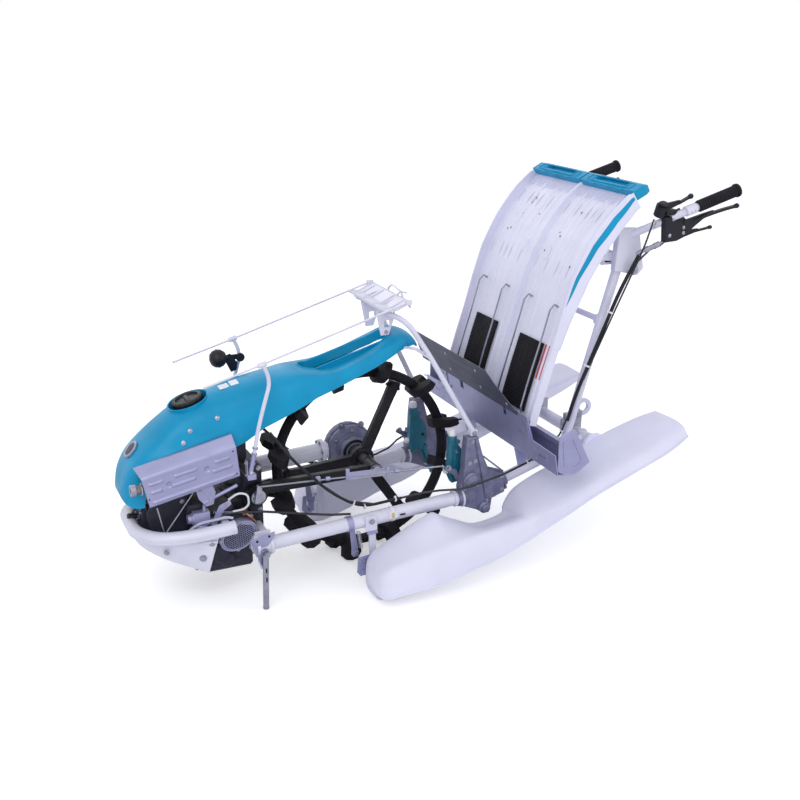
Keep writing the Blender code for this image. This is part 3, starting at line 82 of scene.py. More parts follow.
# Hood sections: x, top z, crease half width, crease z, lower edge half width, lower edge z.
HOOD = (
    (0.786, 0.378, 0.040, 0.370, 0.046, 0.350), (0.777, 0.410, 0.062, 0.398, 0.068, 0.336),
    (0.762, 0.442, 0.078, 0.425, 0.084, 0.328), (0.744, 0.470, 0.088, 0.445, 0.094, 0.326),
    (0.728, 0.487, 0.094, 0.458, 0.100, 0.330), (0.716, 0.500, 0.098, 0.465, 0.104, 0.452),
    (0.690, 0.525, 0.102, 0.478, 0.108, 0.462), (0.650, 0.560, 0.105, 0.495, 0.112, 0.474),
    (0.600, 0.598, 0.106, 0.505, 0.113, 0.470), (0.540, 0.622, 0.107, 0.524, 0.114, 0.470),
    (0.480, 0.635, 0.107, 0.548, 0.115, 0.472), (0.420, 0.650, 0.106, 0.570, 0.116, 0.492),
    (0.360, 0.661, 0.104, 0.594, 0.117, 0.528), (0.300, 0.669, 0.102, 0.618, 0.116, 0.550),
    (0.240, 0.675, 0.100, 0.640, 0.113, 0.573), (0.185, 0.670, 0.098, 0.655, 0.109, 0.597),
    (0.130, 0.667, 0.096, 0.662, 0.104, 0.613), (0.080, 0.678, 0.094, 0.674, 0.101, 0.630),
    (0.030, 0.695, 0.091, 0.690, 0.099, 0.648), (-0.020, 0.715, 0.088, 0.709, 0.095, 0.666),
    (-0.060, 0.735, 0.085, 0.724, 0.091, 0.684), (-0.095, 0.752, 0.080, 0.736, 0.087, 0.702),
    (-0.125, 0.755, 0.072, 0.738, 0.078, 0.710), (-0.155, 0.742, 0.055, 0.728, 0.061, 0.710),
    (-0.180, 0.715, 0.030, 0.706, 0.036, 0.696),
)
SLOT_X = (-0.092, 0.212)
SLOT_HALF = 0.0425
CAP_TOP = (0.561, 0.0, 0.612)
CAP_AXIS = Vector((0.292, 0.0, 0.956)).normalized()
CAP_R = 0.047
FILLER_R = 0.062

# Floor line of the seedling tray, x and z from its foot to its top edge.
TRAY_LINE = (
    (-0.472, 0.466), (-0.490, 0.536), (-0.517, 0.626), (-0.547, 0.718), (-0.577, 0.822),
    (-0.612, 0.926), (-0.662, 1.020), (-0.726, 1.103), (-0.785, 1.154), (-0.850, 1.186),
)

# Sections of the left float: x, inner y, outer y, low z, lip z, rim z, ridge z, top z.
FLOAT = ((0.110, 0.290, 0.385, 0.034, 0.042, 0.052, 0.072, 0.088),
         (0.099, 0.266, 0.406, 0.012, 0.036, 0.056, 0.094, 0.112),
         (0.078, 0.252, 0.420, 0.002, 0.042, 0.062, 0.112, 0.132),
         (0.046, 0.246, 0.426, 0.000, 0.048, 0.066, 0.124, 0.148),
         (-0.046, 0.240, 0.428, 0.030, 0.054, 0.077, 0.140, 0.190),
         (-0.100, 0.238, 0.428, 0.050, 0.060, 0.087, 0.152, 0.212),
         (-0.130, 0.236, 0.428, 0.062, 0.068, 0.094, 0.158, 0.220),
         (-0.160, 0.236, 0.428, 0.074, 0.076, 0.100, 0.164, 0.204),
         (-0.215, 0.238, 0.428, 0.090, 0.090, 0.112, 0.174, 0.180),
         (-0.285, 0.242, 0.428, 0.110, 0.106, 0.128, 0.184, 0.152),
         (-0.380, 0.250, 0.428, 0.152, 0.142, 0.176, 0.204, 0.168),
         (-0.398, 0.236, 0.428, 0.160, 0.150, 0.188, 0.210, 0.200),
         (-0.445, 0.214, 0.428, 0.180, 0.172, 0.222, 0.232, 0.236),
         (-0.530, 0.211, 0.428, 0.218, 0.208, 0.246, 0.258, 0.274),
         (-0.620, 0.210, 0.428, 0.254, 0.250, 0.268, 0.288, 0.302),
         (-0.750, 0.212, 0.427, 0.304, 0.298, 0.312, 0.335, 0.360),
         (-0.900, 0.214, 0.424, 0.360, 0.352, 0.364, 0.392, 0.405),
         (-0.985, 0.224, 0.410, 0.396, 0.390, 0.400, 0.418, 0.424))

# Left cable run, from the gearbox along the frame and up the post to the handle.
CABLE_RUN = (
    (0.352, 0.140, 0.520), (0.300, 0.172, 0.440), (0.180, 0.178, 0.310), (0.080, 0.180, 0.2415),
    (-0.060, 0.180, 0.2485), (-0.160, 0.184, 0.2560), (-0.215, 0.225, 0.266), (-0.250, 0.252, 0.274),
    (-0.330, 0.254, 0.290), (-0.440, 0.240, 0.302), (-0.600, 0.205, 0.345), (-0.648, 0.210, 0.430),
    (-0.672, 0.216, 0.520), (-0.795, 0.248, 0.860), (-0.850, 0.262, 0.975), (-0.9145, 0.297, 1.0145),
)


def at(x, y, z):
    """A place in the model, from a length along X written from the wheel axle."""
    return Vector((x + AXLE.x, y, z))


def on_axle(y):
    """A place on the line of the wheel's axle."""
    return at(0.0, y, AXLE.z)


def opposite(place):
    """The same place on the other side of the machine."""
    return Vector((place.x, -place.y, place.z))


# ---------------------------------------------------------------- sizes and colours
def colour(name, description, value):
    return FloatVectorProperty(name=name, description=description, subtype="COLOR", size=3,
                               min=0.0, max=1.0, default=value)


def length(name, description, value):
    return FloatProperty(name=name, description=description, subtype="DISTANCE", unit="LENGTH",
                         min=0.0, default=value)


class TransplanterColours(bpy.types.PropertyGroup):
    """Colours of the machine's surfaces."""

    white_plastic: colour("White plastic", "Tray and floats", (0.745, 0.745, 0.895))
    white_paint: colour("White paint", "Tubes, bumper and chain case", (0.7, 0.695, 0.825))
    teal_plastic: colour("Teal plastic", "Hood and tray caps", (0.002, 0.31, 0.56))
    teal_paint: colour("Teal paint", "Planting arms", (0.006, 0.15, 0.235))
    grey_casting: colour("Grey casting", "Hub gearcase and planter cases", (0.215, 0.22, 0.345))
    dark_casting: colour("Dark casting", "Engine and gearbox", (0.03, 0.03, 0.055))
    dark_sheet: colour("Dark sheet", "Shield behind the tray foot", (0.06, 0.064, 0.115))
    black_steel: colour("Black steel", "Wheel spider and cranks", (0.006, 0.006, 0.01))
    black_rubber: colour("Black rubber", "Wheel, grips and belts", (0.006, 0.006, 0.011))
    black_plastic: colour("Black plastic", "Caps, knobs and control blocks", (0.007, 0.007, 0.014))
    silver_sheet: colour("Silver sheet", "Exhaust guard and seedling guide", (0.366, 0.372, 0.586))
    steel: colour("Steel", "Rods, pins and screws", (0.42, 0.425, 0.52))
    floor: colour("Floor", "Studio floor", (0.9, 0.9, 0.905))


class TransplanterSizes(bpy.types.PropertyGroup):
    """Sizes of the fittings."""

    hood_skin: length("Hood skin", "Thickness of the hood", 0.0035)
    press_depth: length("Press depth", "Depth of the ribs pressed in the exhaust guard", 0.0042)
    cable_tie: length("Cable tie", "Radius of a tie round the cables", 0.0062)
    flute_height: length("Flute height", "Height of the fine flutes on the tray floor", 0.0013)
    grip_ribs: IntProperty(name="Grip ribs", description="Rings on each hand grip", min=4, max=40, default=15)
    belt_bars: IntProperty(name="Belt bars", description="Bars on each feed belt", min=4, max=60, default=22)
    flutes: IntProperty(name="Flutes", description="Fine flutes on each half of the tray", min=2, max=20,
                        default=9)


def sizes():
    return bpy.context.scene.transplanter_sizes


# ---------------------------------------------------------------- shape helpers
def skin(rings, closed=False, caps=True, loop=True):
    """A surface through rings of equal length; loop joins the two ends of each ring."""
    bm = bmesh.new()
    rows = [[bm.verts.new(point) for point in ring] for ring in rings]
    pairs = list(zip(rows, rows[1:]))
    if closed:
        pairs.append((rows[-1], rows[0]))
    count = len(rows[0])
    for first, second in pairs:
        for i in range(count if loop else count - 1):
            j = (i + 1) % count
            bm.faces.new((first[i], first[j], second[j], second[i]))
    if caps and not closed and loop:
        bm.faces.new(rows[0][::-1])
        bm.faces.new(rows[-1])
    bmesh.ops.recalc_face_normals(bm, faces=bm.faces)
    return bm


def bent(points, radius, steps=5):
    """The same polyline with its corners turned into arcs."""
    points = [Vector(point) for point in points]
    path = [points[0]]
    for before, corner, after in zip(points, points[1:], points[2:]):
        first, second = before - corner, after - corner
        reach = min(radius, first.length * 0.45, second.length * 0.45)
        start, end = corner + first.normalized() * reach, corner + second.normalized() * reach
        for step in range(steps + 1):
            t = step / steps
            path.append(start.lerp(corner, t).lerp(corner.lerp(end, t), t))
    path.append(points[-1])
    return path


def through(rows, steps):
    """Rows of numbers with smooth in-between rows added."""
    made = []
    last = len(rows) - 1
    for i in range(last):
        a, b, c, d = rows[max(0, i - 1)], rows[i], rows[i + 1], rows[min(last, i + 2)]
        for step in range(steps):
            t = step / steps
            made.append([
                0.5 * (2 * q + (r - p) * t + (2 * p - 5 * q + 4 * r - s) * t * t
                       + (3 * q - p - 3 * r + s) * t ** 3)
                for p, q, r, s in zip(a, b, c, d)
            ])
    made.append(list(rows[-1]))
    return made


def circle(radius, sides):
    return [(radius * math.cos(math.tau * i / sides), radius * math.sin(math.tau * i / sides))
            for i in range(sides)]


def sweep(path, section, up=UP, closed=False):
    """A section of (side, up) pairs carried along a path."""
    path = [Vector(point) for point in path]
    up = Vector(up)
    count = len(path)
    rings = []
    for i, point in enumerate(path):
        before = path[i - 1] if closed or i else path[0]
        after = path[(i + 1) % count] if closed or i < count - 1 else path[-1]
        along = (after - before).normalized()
        side = along.cross(up).normalized()
        top = side.cross(along)
        rings.append([point + side * a + top * b for a, b in section])
    return skin(rings, closed=closed)


def tube(path, radius, sides=10, up=UP, closed=False):
    return sweep(path, circle(radius, sides), up, closed)


def strip(path, width, thick, up=UP):
    a, b = width / 2, thick / 2
    return sweep(path, ((-a, -b), (a, -b), (a, b), (-a, b)), up)


def softened(bm, edge, segments=2):
    """The same shape with its hard edges rounded."""
    if edge:
        hard = [e for e in bm.edges if len(e.link_faces) == 2 and e.calc_face_angle(0.0) > 0.5]
        bmesh.ops.bevel(bm, geom=hard, offset=edge, segments=segments, affect="EDGES", profile=0.6)
    return bm


def block(x, y, z, edge=0.002):
    """A box with rounded edges from three (low, high) pairs, x written from the axle."""
    bm = bmesh.new()
    bmesh.ops.create_cube(bm, size=1.0)
    low, high = at(min(x), min(y), min(z)), at(max(x), max(y), max(z))
    for vert in bm.verts:
        vert.co = Vector(a * b for a, b in zip(vert.co, high - low)) + (low + high) / 2
    return softened(bm, edge)


def plate(outline, y, edge=0.0008):
    """An (x, z) outline, written from the axle, pulled from one y to another."""
    return softened(skin([[at(a, level, b) for a, b in outline] for level in y]), edge, 1)


def square_to(axis):
    """The axis at length one, and two directions square to it and to each other."""
    axis = Vector(axis).normalized()
    helper = Vector(UP) if abs(axis.z) < 0.9 else Vector(AHEAD)
    side = axis.cross(helper).normalized()
    return axis, side, axis.cross(side)


def turned(profile, origin, axis, sides=24, lobes=0, depth=0.0, hollow=False):
    """A turned shape from (distance along the axis, radius) pairs; lobes flute its outside.

    A hollow one joins its last pair to its first, so that it is open along the axis.
    """
    axis, side, top = square_to(axis)
    reach = max(radius for _, radius in profile)
    rings = []
    for along, radius in profile:
        ring = []
        for i in range(sides):
            angle = math.tau * i / sides
            flute = depth * math.cos(angle * lobes) if lobes and radius > reach * 0.93 else 0.0
            ring.append(origin + axis * along + side * (radius + flute) * math.cos(angle)
                        + top * (radius + flute) * math.sin(angle))
        rings.append(ring)
    return skin(rings, closed=hollow)


def outward(degrees):
    """Direction square to the wheel axle, turned up from straight ahead."""
    a = math.radians(degrees)
    return Vector((math.cos(a), 0.0, math.sin(a)))


def rod(start, end, radius, sides=12):
    return turned(((0.0, radius), ((end - start).length, radius)), start, end - start, sides)


def ring_band(origin, axis, inner, outer, thick, sides=32):
    """A flat washer or band of rectangular section."""
    axis, side, top = square_to(axis)
    rings = []
    for i in range(sides):
        out = side * math.cos(math.tau * i / sides) + top * math.sin(math.tau * i / sides)
        rings.append([origin + out * r + axis * a
                      for r, a in ((inner, 0.0), (outer, 0.0), (outer, thick), (inner, thick))])
    return softened(skin(rings, closed=True), min(thick, outer - inner) * 0.2, 1)


def plaque(centre, normal, along, width, height, thick, edge=0.001):
    """A small flat plate lying on a surface."""
    normal = Vector(normal).normalized()
    u = (Vector(along) - normal * Vector(along).dot(normal)).normalized()
    v = normal.cross(u)
    corners = ((-1, -0.8), (-0.9, -1), (0.9, -1), (1, -0.8), (1, 0.8), (0.9, 1), (-0.9, 1), (-1, 0.8))
    rings = [[centre + normal * level + u * (a * width / 2) + v * (b * height / 2) for a, b in corners]
             for level in (-0.001, thick)]
    return softened(skin(rings), edge * 0.4, 1)


def mirrored(bm):
    """A copy on the other side of the machine."""
    twin = bm.copy()
    for vert in twin.verts:
        vert.co.y = -vert.co.y
    bmesh.ops.reverse_faces(twin, faces=twin.faces)
    return twin


def both(shapes):
    return [side for shape in shapes for side in (shape, mirrored(shape))]


def flip(points):
    """The same (place, facing, size) points, and their mirror images."""
    return points + [(opposite(place), opposite(Vector(facing)), size) for place, facing, size in points]


def side_spots(y, size, places, facing=LEFT):
    """The same (place, facing, size) points, from (x, z) pairs on one upright plane."""
    return [(at(x, y, z), facing, size) for x, z in places]


def round_points(centre, axis, radius, count, size, first=0.0):
    """Points evenly round a circle, all facing along its axis."""
    axis, side, top = square_to(axis)
    return [
        (centre + side * radius * math.cos(a) + top * radius * math.sin(a), axis, size)
        for a in (first + math.tau * i / count for i in range(count))
    ]


def linked(name, data):
    obj = bpy.data.objects.new(name, data)
    bpy.context.scene.collection.objects.link(obj)
    return obj


def piece(name, parts, body="frame", smooth=32.0, stands_for=()):
    """One finished piece from (finish, shapes) pairs, riding on a body."""
    mesh = bpy.data.meshes.new(name)
    whole = bmesh.new()
    for index, (surface, shapes) in enumerate(parts):
        mesh.materials.append(bpy.data.materials[surface])
        for shape in shapes:
            for face in shape.faces:
                face.material_index = index
            part = bpy.data.meshes.new("shape")
            shape.to_mesh(part)
            whole.from_mesh(part)
            bpy.data.meshes.remove(part)
            shape.free()
    whole.to_mesh(mesh)
    whole.free()
    mesh.shade_smooth()
    mesh.set_sharp_from_angle(angle=math.radians(smooth))
    obj = linked(name, mesh)
    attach(obj, body)
    if stands_for:
        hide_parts(*stands_for)
    return obj


def cut(bm, tools):
    """The shape less the tools, as a new shape."""
    objects = []
    for shape in [bm] + tools:
        mesh = bpy.data.meshes.new("cut")
        shape.to_mesh(mesh)
        shape.free()
        objects.append(linked("cut", mesh))
    for tool in objects[1:]:
        modifier = objects[0].modifiers.new("cut", "BOOLEAN")
        modifier.operation = "DIFFERENCE"
        modifier.solver = "EXACT"
        modifier.object = tool
    graph = bpy.context.evaluated_depsgraph_get()
    result = bpy.data.meshes.new_from_object(objects[0].evaluated_get(graph))
    made = bmesh.new()
    made.from_mesh(result)
    bpy.data.meshes.remove(result)
    for obj in objects:
        used = obj.data
        bpy.data.objects.remove(obj)
        bpy.data.meshes.remove(used)
    return made


# ---------------------------------------------------------------- node helpers
def node(tree, kind, inputs=None, **settings):
    """A new node with its settings, input values and incoming links."""
    made = tree.nodes.new(kind)
    for key, value in settings.items():
        setattr(made, key, value)
    for key, value in (inputs or {}).items():
        if isinstance(value, bpy.types.NodeSocket):
            tree.links.new(value, made.inputs[key])
        else:
            made.inputs[key].default_value = value
    return made


def math_node(tree, operation, first, second=0.0, clamp=False):
    return node(tree, "ShaderNodeMath", {0: first, 1: second}, operation=operation,
                use_clamp=clamp).outputs[0]


def ramp(tree, value, **ends):
    """A value spread from one range to another; from_min=0.4 sets the input From Min."""
    inputs = {key.replace("_", " ").title(): end for key, end in ends.items()}
    return node(tree, "ShaderNodeMapRange", {"Value": value, **inputs}).outputs[0]


def noise(tree, place, scale, detail, rough=0.5):
    inputs = {"Vector": place, "Scale": scale, "Detail": detail, "Roughness": rough}
    return node(tree, "ShaderNodeTexNoise", inputs).outputs[0]


def new_group(name, kind, inputs, outputs):
    """An empty node group with named sockets, its input node and its output node."""
    tree = bpy.data.node_groups.new(name, kind)
    for label, socket, value in inputs:
        made = tree.interface.new_socket(label, in_out="INPUT", socket_type=socket)
        if value is not None:
            made.default_value = value
    for label, socket in outputs:
        tree.interface.new_socket(label, in_out="OUTPUT", socket_type=socket)
    return tree, node(tree, "NodeGroupInput"), node(tree, "NodeGroupOutput")


def spread_out(tree, entry, leave, spread):
    """The end of a tree: the spread copies made real, in their finish."""
    real = node(tree, "GeometryNodeRealizeInstances", {"Geometry": spread.outputs["Instances"]})
    done = node(tree, "GeometryNodeSetMaterial", {
        "Geometry": real.outputs["Geometry"], "Material": entry.outputs["Material"]})
    tree.links.new(done.outputs["Geometry"], leave.inputs["Geometry"])
    return tree


def fitting_tree(name, parts):
    """Geometry Nodes tree that sets a small turned fitting on every point, along its facing.

    parts are (sides, lower radius, upper radius, height, start along the axis, sideways shift).
    """
    tree, entry, leave = new_group(
        name, "GeometryNodeTree",
        (("Geometry", "NodeSocketGeometry", None), ("Size factor", "NodeSocketFloat", 1.0),
         ("Material", "NodeSocketMaterial", None)),
        (("Geometry", "NodeSocketGeometry"),),
    )
    join = node(tree, "GeometryNodeJoinGeometry")
    for sides, low, high, height, start, shift in parts:
        cone = node(tree, "GeometryNodeMeshCone", {
            "Vertices": sides, "Radius Top": high, "Radius Bottom": low, "Depth": height})
        moved = node(tree, "GeometryNodeTransform", {
            "Geometry": cone.outputs["Mesh"], "Translation": (shift, 0.0, start)})
        tree.links.new(moved.outputs["Geometry"], join.inputs["Geometry"])
    facing = node(tree, "GeometryNodeInputNamedAttribute", {"Name": "facing"}, data_type="FLOAT_VECTOR")
    width = node(tree, "GeometryNodeInputNamedAttribute", {"Name": "width"}, data_type="FLOAT")
    turn = node(tree, "FunctionNodeAlignRotationToVector", {"Vector": facing.outputs[0]}, axis="Z")
    scale = math_node(tree, "MULTIPLY", width.outputs[0], entry.outputs["Size factor"])
    spread = node(tree, "GeometryNodeInstanceOnPoints", {
        "Points": entry.outputs["Geometry"], "Instance": join.outputs["Geometry"],
        "Rotation": turn.outputs["Rotation"], "Scale": scale})
    return spread_out(tree, entry, leave, spread)


def bar_tree(name):
    """Geometry Nodes tree that lays bars of one size evenly from the first point of a line to its last."""
    tree, entry, leave = new_group(
        name, "GeometryNodeTree",
        (("Geometry", "NodeSocketGeometry", None), ("Count", "NodeSocketInt", 10),
         ("Bar size", "NodeSocketVector", (0.01, 0.01, 0.01)), ("Material", "NodeSocketMaterial", None)),
        (("Geometry", "NodeSocketGeometry"),),
    )
    line = node(tree, "GeometryNodeMeshToCurve", {"Mesh": entry.outputs["Geometry"]})
    steps = node(tree, "GeometryNodeResampleCurve", {
        "Curve": line.outputs["Curve"], "Count": entry.outputs["Count"]})
    bar = node(tree, "GeometryNodeMeshCube", {"Size": entry.outputs["Bar size"]})
    along = node(tree, "GeometryNodeInputTangent")
    turn = node(tree, "FunctionNodeAlignRotationToVector", {"Vector": along.outputs[0]}, axis="X",
                pivot_axis="Y")
    spread = node(tree, "GeometryNodeInstanceOnPoints",
                  {"Points": steps.outputs["Curve"], "Instance": bar.outputs["Mesh"],
                   "Rotation": turn.outputs["Rotation"]})
    return spread_out(tree, entry, leave, spread)


FITTINGS = {"hex_bolts": ((18, 1.45, 1.45, 0.22, 0.0, 0.0), (6, 1.0, 1.0, 0.55, 0.2, 0.0),
                          (6, 1.0, 0.72, 0.12, 0.75, 0.0), (10, 0.45, 0.4, 0.18, 0.85, 0.0)),
            "round_screws": ((18, 1.25, 1.25, 0.12, 0.0, 0.0), (18, 1.0, 0.92, 0.25, 0.1, 0.0),
                             (18, 0.92, 0.55, 0.16, 0.35, 0.0)),
            "rivets": ((14, 1.0, 0.9, 0.2, 0.0, 0.0), (14, 0.9, 0.4, 0.25, 0.2, 0.0)),
            # Flat discs that, in the near-black finish, paint the shade of a hole; no hole is cut.
            "hole_shade_discs": ((12, 1.0, 1.0, 0.06, -0.02, 0.0),),
            "grip_rings": ((20, 1.0, 1.075, 0.1, -0.16, 0.0), (20, 1.075, 1.075, 0.12, -0.06, 0.0),
                           (20, 1.075, 1.0, 0.1, 0.06, 0.0)),
            "cable_ties": ((16, 1.0, 1.0, 0.55, -0.27, 0.0), (4, 0.42, 0.42, 0.75, -0.37, 1.15),
                           (4, 0.12, 0.08, 2.4, 0.2, 1.2))}


def made_plain(name, mesh, tree, values, surface, body):
    """The result of a Geometry Nodes tree on a mesh, as a plain piece riding on a body."""
    base = linked(name + ".base", mesh)
    modifier = base.modifiers.new(name, "NODES")
    modifier.node_group = tree
    values = dict(values, Material=bpy.data.materials[surface])
    for item in tree.interface.items_tree:
        if item.in_out == "INPUT" and item.name in values:
            modifier[item.identifier] = values[item.name]
    graph = bpy.context.evaluated_depsgraph_get()
    result = bpy.data.meshes.new_from_object(base.evaluated_get(graph))
    base.modifiers.remove(modifier)
    bpy.data.objects.remove(base)
    bpy.data.meshes.remove(mesh)
    if not result.polygons:
        raise RuntimeError(name + " made no faces")
    result.name = name
    result.shade_smooth()
    result.set_sharp_from_angle(angle=math.radians(30.0))
    obj = linked(name, result)
    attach(obj, body)
    return obj


def fit(name, kind, points, surface="steel", body="frame", factor=1.0):
    """Small fittings of one kind on (place, facing, width) points, as one piece."""
    tree = bpy.data.node_groups.get(kind) or fitting_tree(kind, FITTINGS[kind])
    mesh = bpy.data.meshes.new(name)
    mesh.from_pydata([tuple(p) for p, _, _ in points], [], [])
    mesh.attributes.new("facing", "FLOAT_VECTOR", "POINT")
    mesh.attributes.new("width", "FLOAT", "POINT")
    facing, width = mesh.attributes["facing"].data, mesh.attributes["width"].data
    for i, (_, face, size) in enumerate(points):
        facing[i].vector = Vector(face).normalized()
        width[i].value = size
    return made_plain(name, mesh, tree, {"Size factor": factor}, surface, body)


def bars(name, line, count, size, surface, body="frame"):
    """Bars of one size laid evenly along a line, as one piece."""
    tree = bpy.data.node_groups.get("even_bars") or bar_tree("even_bars")
    mesh = bpy.data.meshes.new(name)
    mesh.from_pydata([tuple(p) for p in line], [(i, i + 1) for i in range(len(line) - 1)], [])
    return made_plain(name, mesh, tree, {"Count": count, "Bar size": size}, surface, body)


# ---------------------------------------------------------------- surface effects
def grain_group():
    """Fine and coarse unevenness of a moulded, cast or painted surface."""
    tree, entry, leave = new_group(
        "surface_grain", "ShaderNodeTree",
        (("Fine", "NodeSocketFloat", 600.0), ("Coarse", "NodeSocketFloat", 25.0)),
        (("Height", "NodeSocketFloat"), ("Tone", "NodeSocketFloat")),
    )
    place = node(tree, "ShaderNodeTexCoord").outputs["Object"]
    fine = noise(tree, place, entry.outputs["Fine"], 3.0)
    coarse = noise(tree, place, entry.outputs["Coarse"], 4.0)
    high, low = math_node(tree, "MULTIPLY", fine, 0.65), math_node(tree, "MULTIPLY", coarse, 0.35)
    tree.links.new(math_node(tree, "ADD", high, low), leave.inputs["Height"])
    tree.links.new(ramp(tree, coarse, from_min=0.32, from_max=0.68), leave.inputs["Tone"])
    return tree


def wear_group():
    """Mask of the edges where paint or black finish has rubbed thin."""
    tree, entry, leave = new_group(
        "edge_wear", "ShaderNodeTree",
        (("Radius", "NodeSocketFloat", 0.0012), ("Breakup", "NodeSocketFloat", 60.0),
         ("Amount", "NodeSocketFloat", 0.6)),
        (("Mask", "NodeSocketFloat"),),
    )
    round_edge = node(tree, "ShaderNodeBevel", {"Radius": entry.outputs["Radius"]}, samples=4)
    true_face = node(tree, "ShaderNodeNewGeometry")
    match = node(tree, "ShaderNodeVectorMath", {0: round_edge.outputs[0], 1: true_face.outputs["Normal"]},
                 operation="DOT_PRODUCT")
    edge = ramp(tree, match.outputs["Value"], from_min=0.985, from_max=0.9)
    place = node(tree, "ShaderNodeTexCoord").outputs["Object"]
    patch = noise(tree, place, entry.outputs["Breakup"], 5.0)
    mask = math_node(tree, "MULTIPLY", edge, ramp(tree, patch, from_min=0.42, from_max=0.62))
    tree.links.new(math_node(tree, "MULTIPLY", mask, entry.outputs["Amount"], True), leave.inputs["Mask"])
    return tree


def dust_group():
    """Mask of the fine dust that settles on faces that look up, and low on the machine."""
    tree, entry, leave = new_group(
        "settled_dust", "ShaderNodeTree",
        (("Amount", "NodeSocketFloat", 0.2), ("Patch", "NodeSocketFloat", 9.0)),
        (("Mask", "NodeSocketFloat"),),
    )
    faces = node(tree, "ShaderNodeSeparateXYZ", {0: node(tree, "ShaderNodeNewGeometry").outputs["Normal"]})
    upward = ramp(tree, faces.outputs["Z"], from_min=0.1)
    place = node(tree, "ShaderNodeTexCoord").outputs["Object"]
    height = node(tree, "ShaderNodeSeparateXYZ", {0: place})
    low = ramp(tree, height.outputs["Z"], from_min=0.45, from_max=0.0, to_min=0.25)
    patch = noise(tree, place, entry.outputs["Patch"], 6.0)
    mask = math_node(tree, "MULTIPLY", upward, ramp(tree, patch, from_min=0.35, from_max=0.75))
    mask = math_node(tree, "MULTIPLY", mask, low)
    tree.links.new(math_node(tree, "MULTIPLY", mask, entry.outputs["Amount"], True), leave.inputs["Mask"])
    return tree


def streak_group():
    """Long fine streaks of rolled sheet, drawn rod or a moulded sheet's flow."""
    tree, entry, leave = new_group(
        "rolled_streaks", "ShaderNodeTree",
        (("Scale", "NodeSocketFloat", 40.0), ("Stretch", "NodeSocketVector", (0.06, 1.0, 1.0))),
        (("Height", "NodeSocketFloat"), ("Tone", "NodeSocketFloat")),
    )
    place = node(tree, "ShaderNodeTexCoord").outputs["Object"]
    drawn = node(tree, "ShaderNodeVectorMath", {0: place, 1: entry.outputs["Stretch"]}, operation="MULTIPLY")
    fine = noise(tree, drawn.outputs[0], entry.outputs["Scale"], 6.0, 0.65)
    tree.links.new(fine, leave.inputs["Height"])
    tree.links.new(ramp(tree, fine, from_min=0.3, from_max=0.7), leave.inputs["Tone"])
    return tree


def use_group(tree, name, maker, **inputs):
    values = {key.capitalize(): value for key, value in inputs.items()}
    made = tree.nodes.new("ShaderNodeGroup")
    made.node_tree = bpy.data.node_groups.get(name) or maker()
    for key, value in values.items():
        made.inputs[key].default_value = value
    return made


def blend_colour(tree, factor, first, second):
    mix = node(tree, "ShaderNodeMix", {0: factor, 6: first, 7: second}, data_type="RGBA")
    return mix.outputs[2]


DUST = (0.46, 0.42, 0.36)
BARE = (0.5, 0.5, 0.52)
STEEL_WEAR = (0.001, 0.55, BARE, 0.85)


def surface(name, base, rough, metallic=0.0, fine=700.0, coarse=22.0, bump=0.12, deep=0.0004, shade=0.86,
            wear=None, dust=0.12, streak=None, coat=0.0, shine=0.5):
    """One finish: base colour with slow change of tone, grain, worn edges and a little dust.

    wear is (width of the worn edge, amount, bare colour, bare metallic); streak is (scale, stretch).
    """
    material = bpy.data.materials.new(name)
    material.use_nodes = True
    tree = material.node_tree
    shader = tree.nodes["Principled BSDF"]
    full = (*base, 1.0)
    darker = (*[channel * shade for channel in base], 1.0)
    grain = use_group(tree, "surface_grain", grain_group, fine=fine, coarse=coarse)
    height, tone = grain.outputs["Height"], grain.outputs["Tone"]
    if streak:
        drawn = use_group(tree, "rolled_streaks", streak_group, scale=streak[0], stretch=streak[1])
        tone = math_node(tree, "MULTIPLY", math_node(tree, "ADD", tone, drawn.outputs["Tone"]), 0.5)
        height = math_node(tree, "ADD", height, drawn.outputs["Height"])
    tint = blend_colour(tree, tone, darker, full)
    rough_out = ramp(tree, tone, to_min=min(1.0, rough + 0.1), to_max=max(0.05, rough - 0.05))
    shader.inputs["Metallic"].default_value = metallic
    if wear:
        radius, amount, bare, bare_metal = wear
        edge = use_group(tree, "edge_wear", wear_group, radius=radius, amount=amount).outputs["Mask"]
        tint = blend_colour(tree, edge, tint, (*bare, 1.0))
        tree.links.new(ramp(tree, edge, to_min=metallic, to_max=bare_metal), shader.inputs["Metallic"])
    if dust:
        film = use_group(tree, "settled_dust", dust_group, amount=dust).outputs["Mask"]
        tint = blend_colour(tree, film, tint, (*DUST, 1.0))
        rough_out = math_node(tree, "ADD", rough_out, math_node(tree, "MULTIPLY", film, 0.4), True)
    tree.links.new(tint, shader.inputs["Base Color"])
    tree.links.new(rough_out, shader.inputs["Roughness"])
    shader.inputs["Specular IOR Level"].default_value = shine
    shader.inputs["Coat Weight"].default_value = coat
    shader.inputs["Coat Roughness"].default_value = 0.15
    relief = node(tree, "ShaderNodeBump", {"Strength": bump, "Distance": deep, "Height": height})
    tree.links.new(relief.outputs[0], shader.inputs["Normal"])
    return material


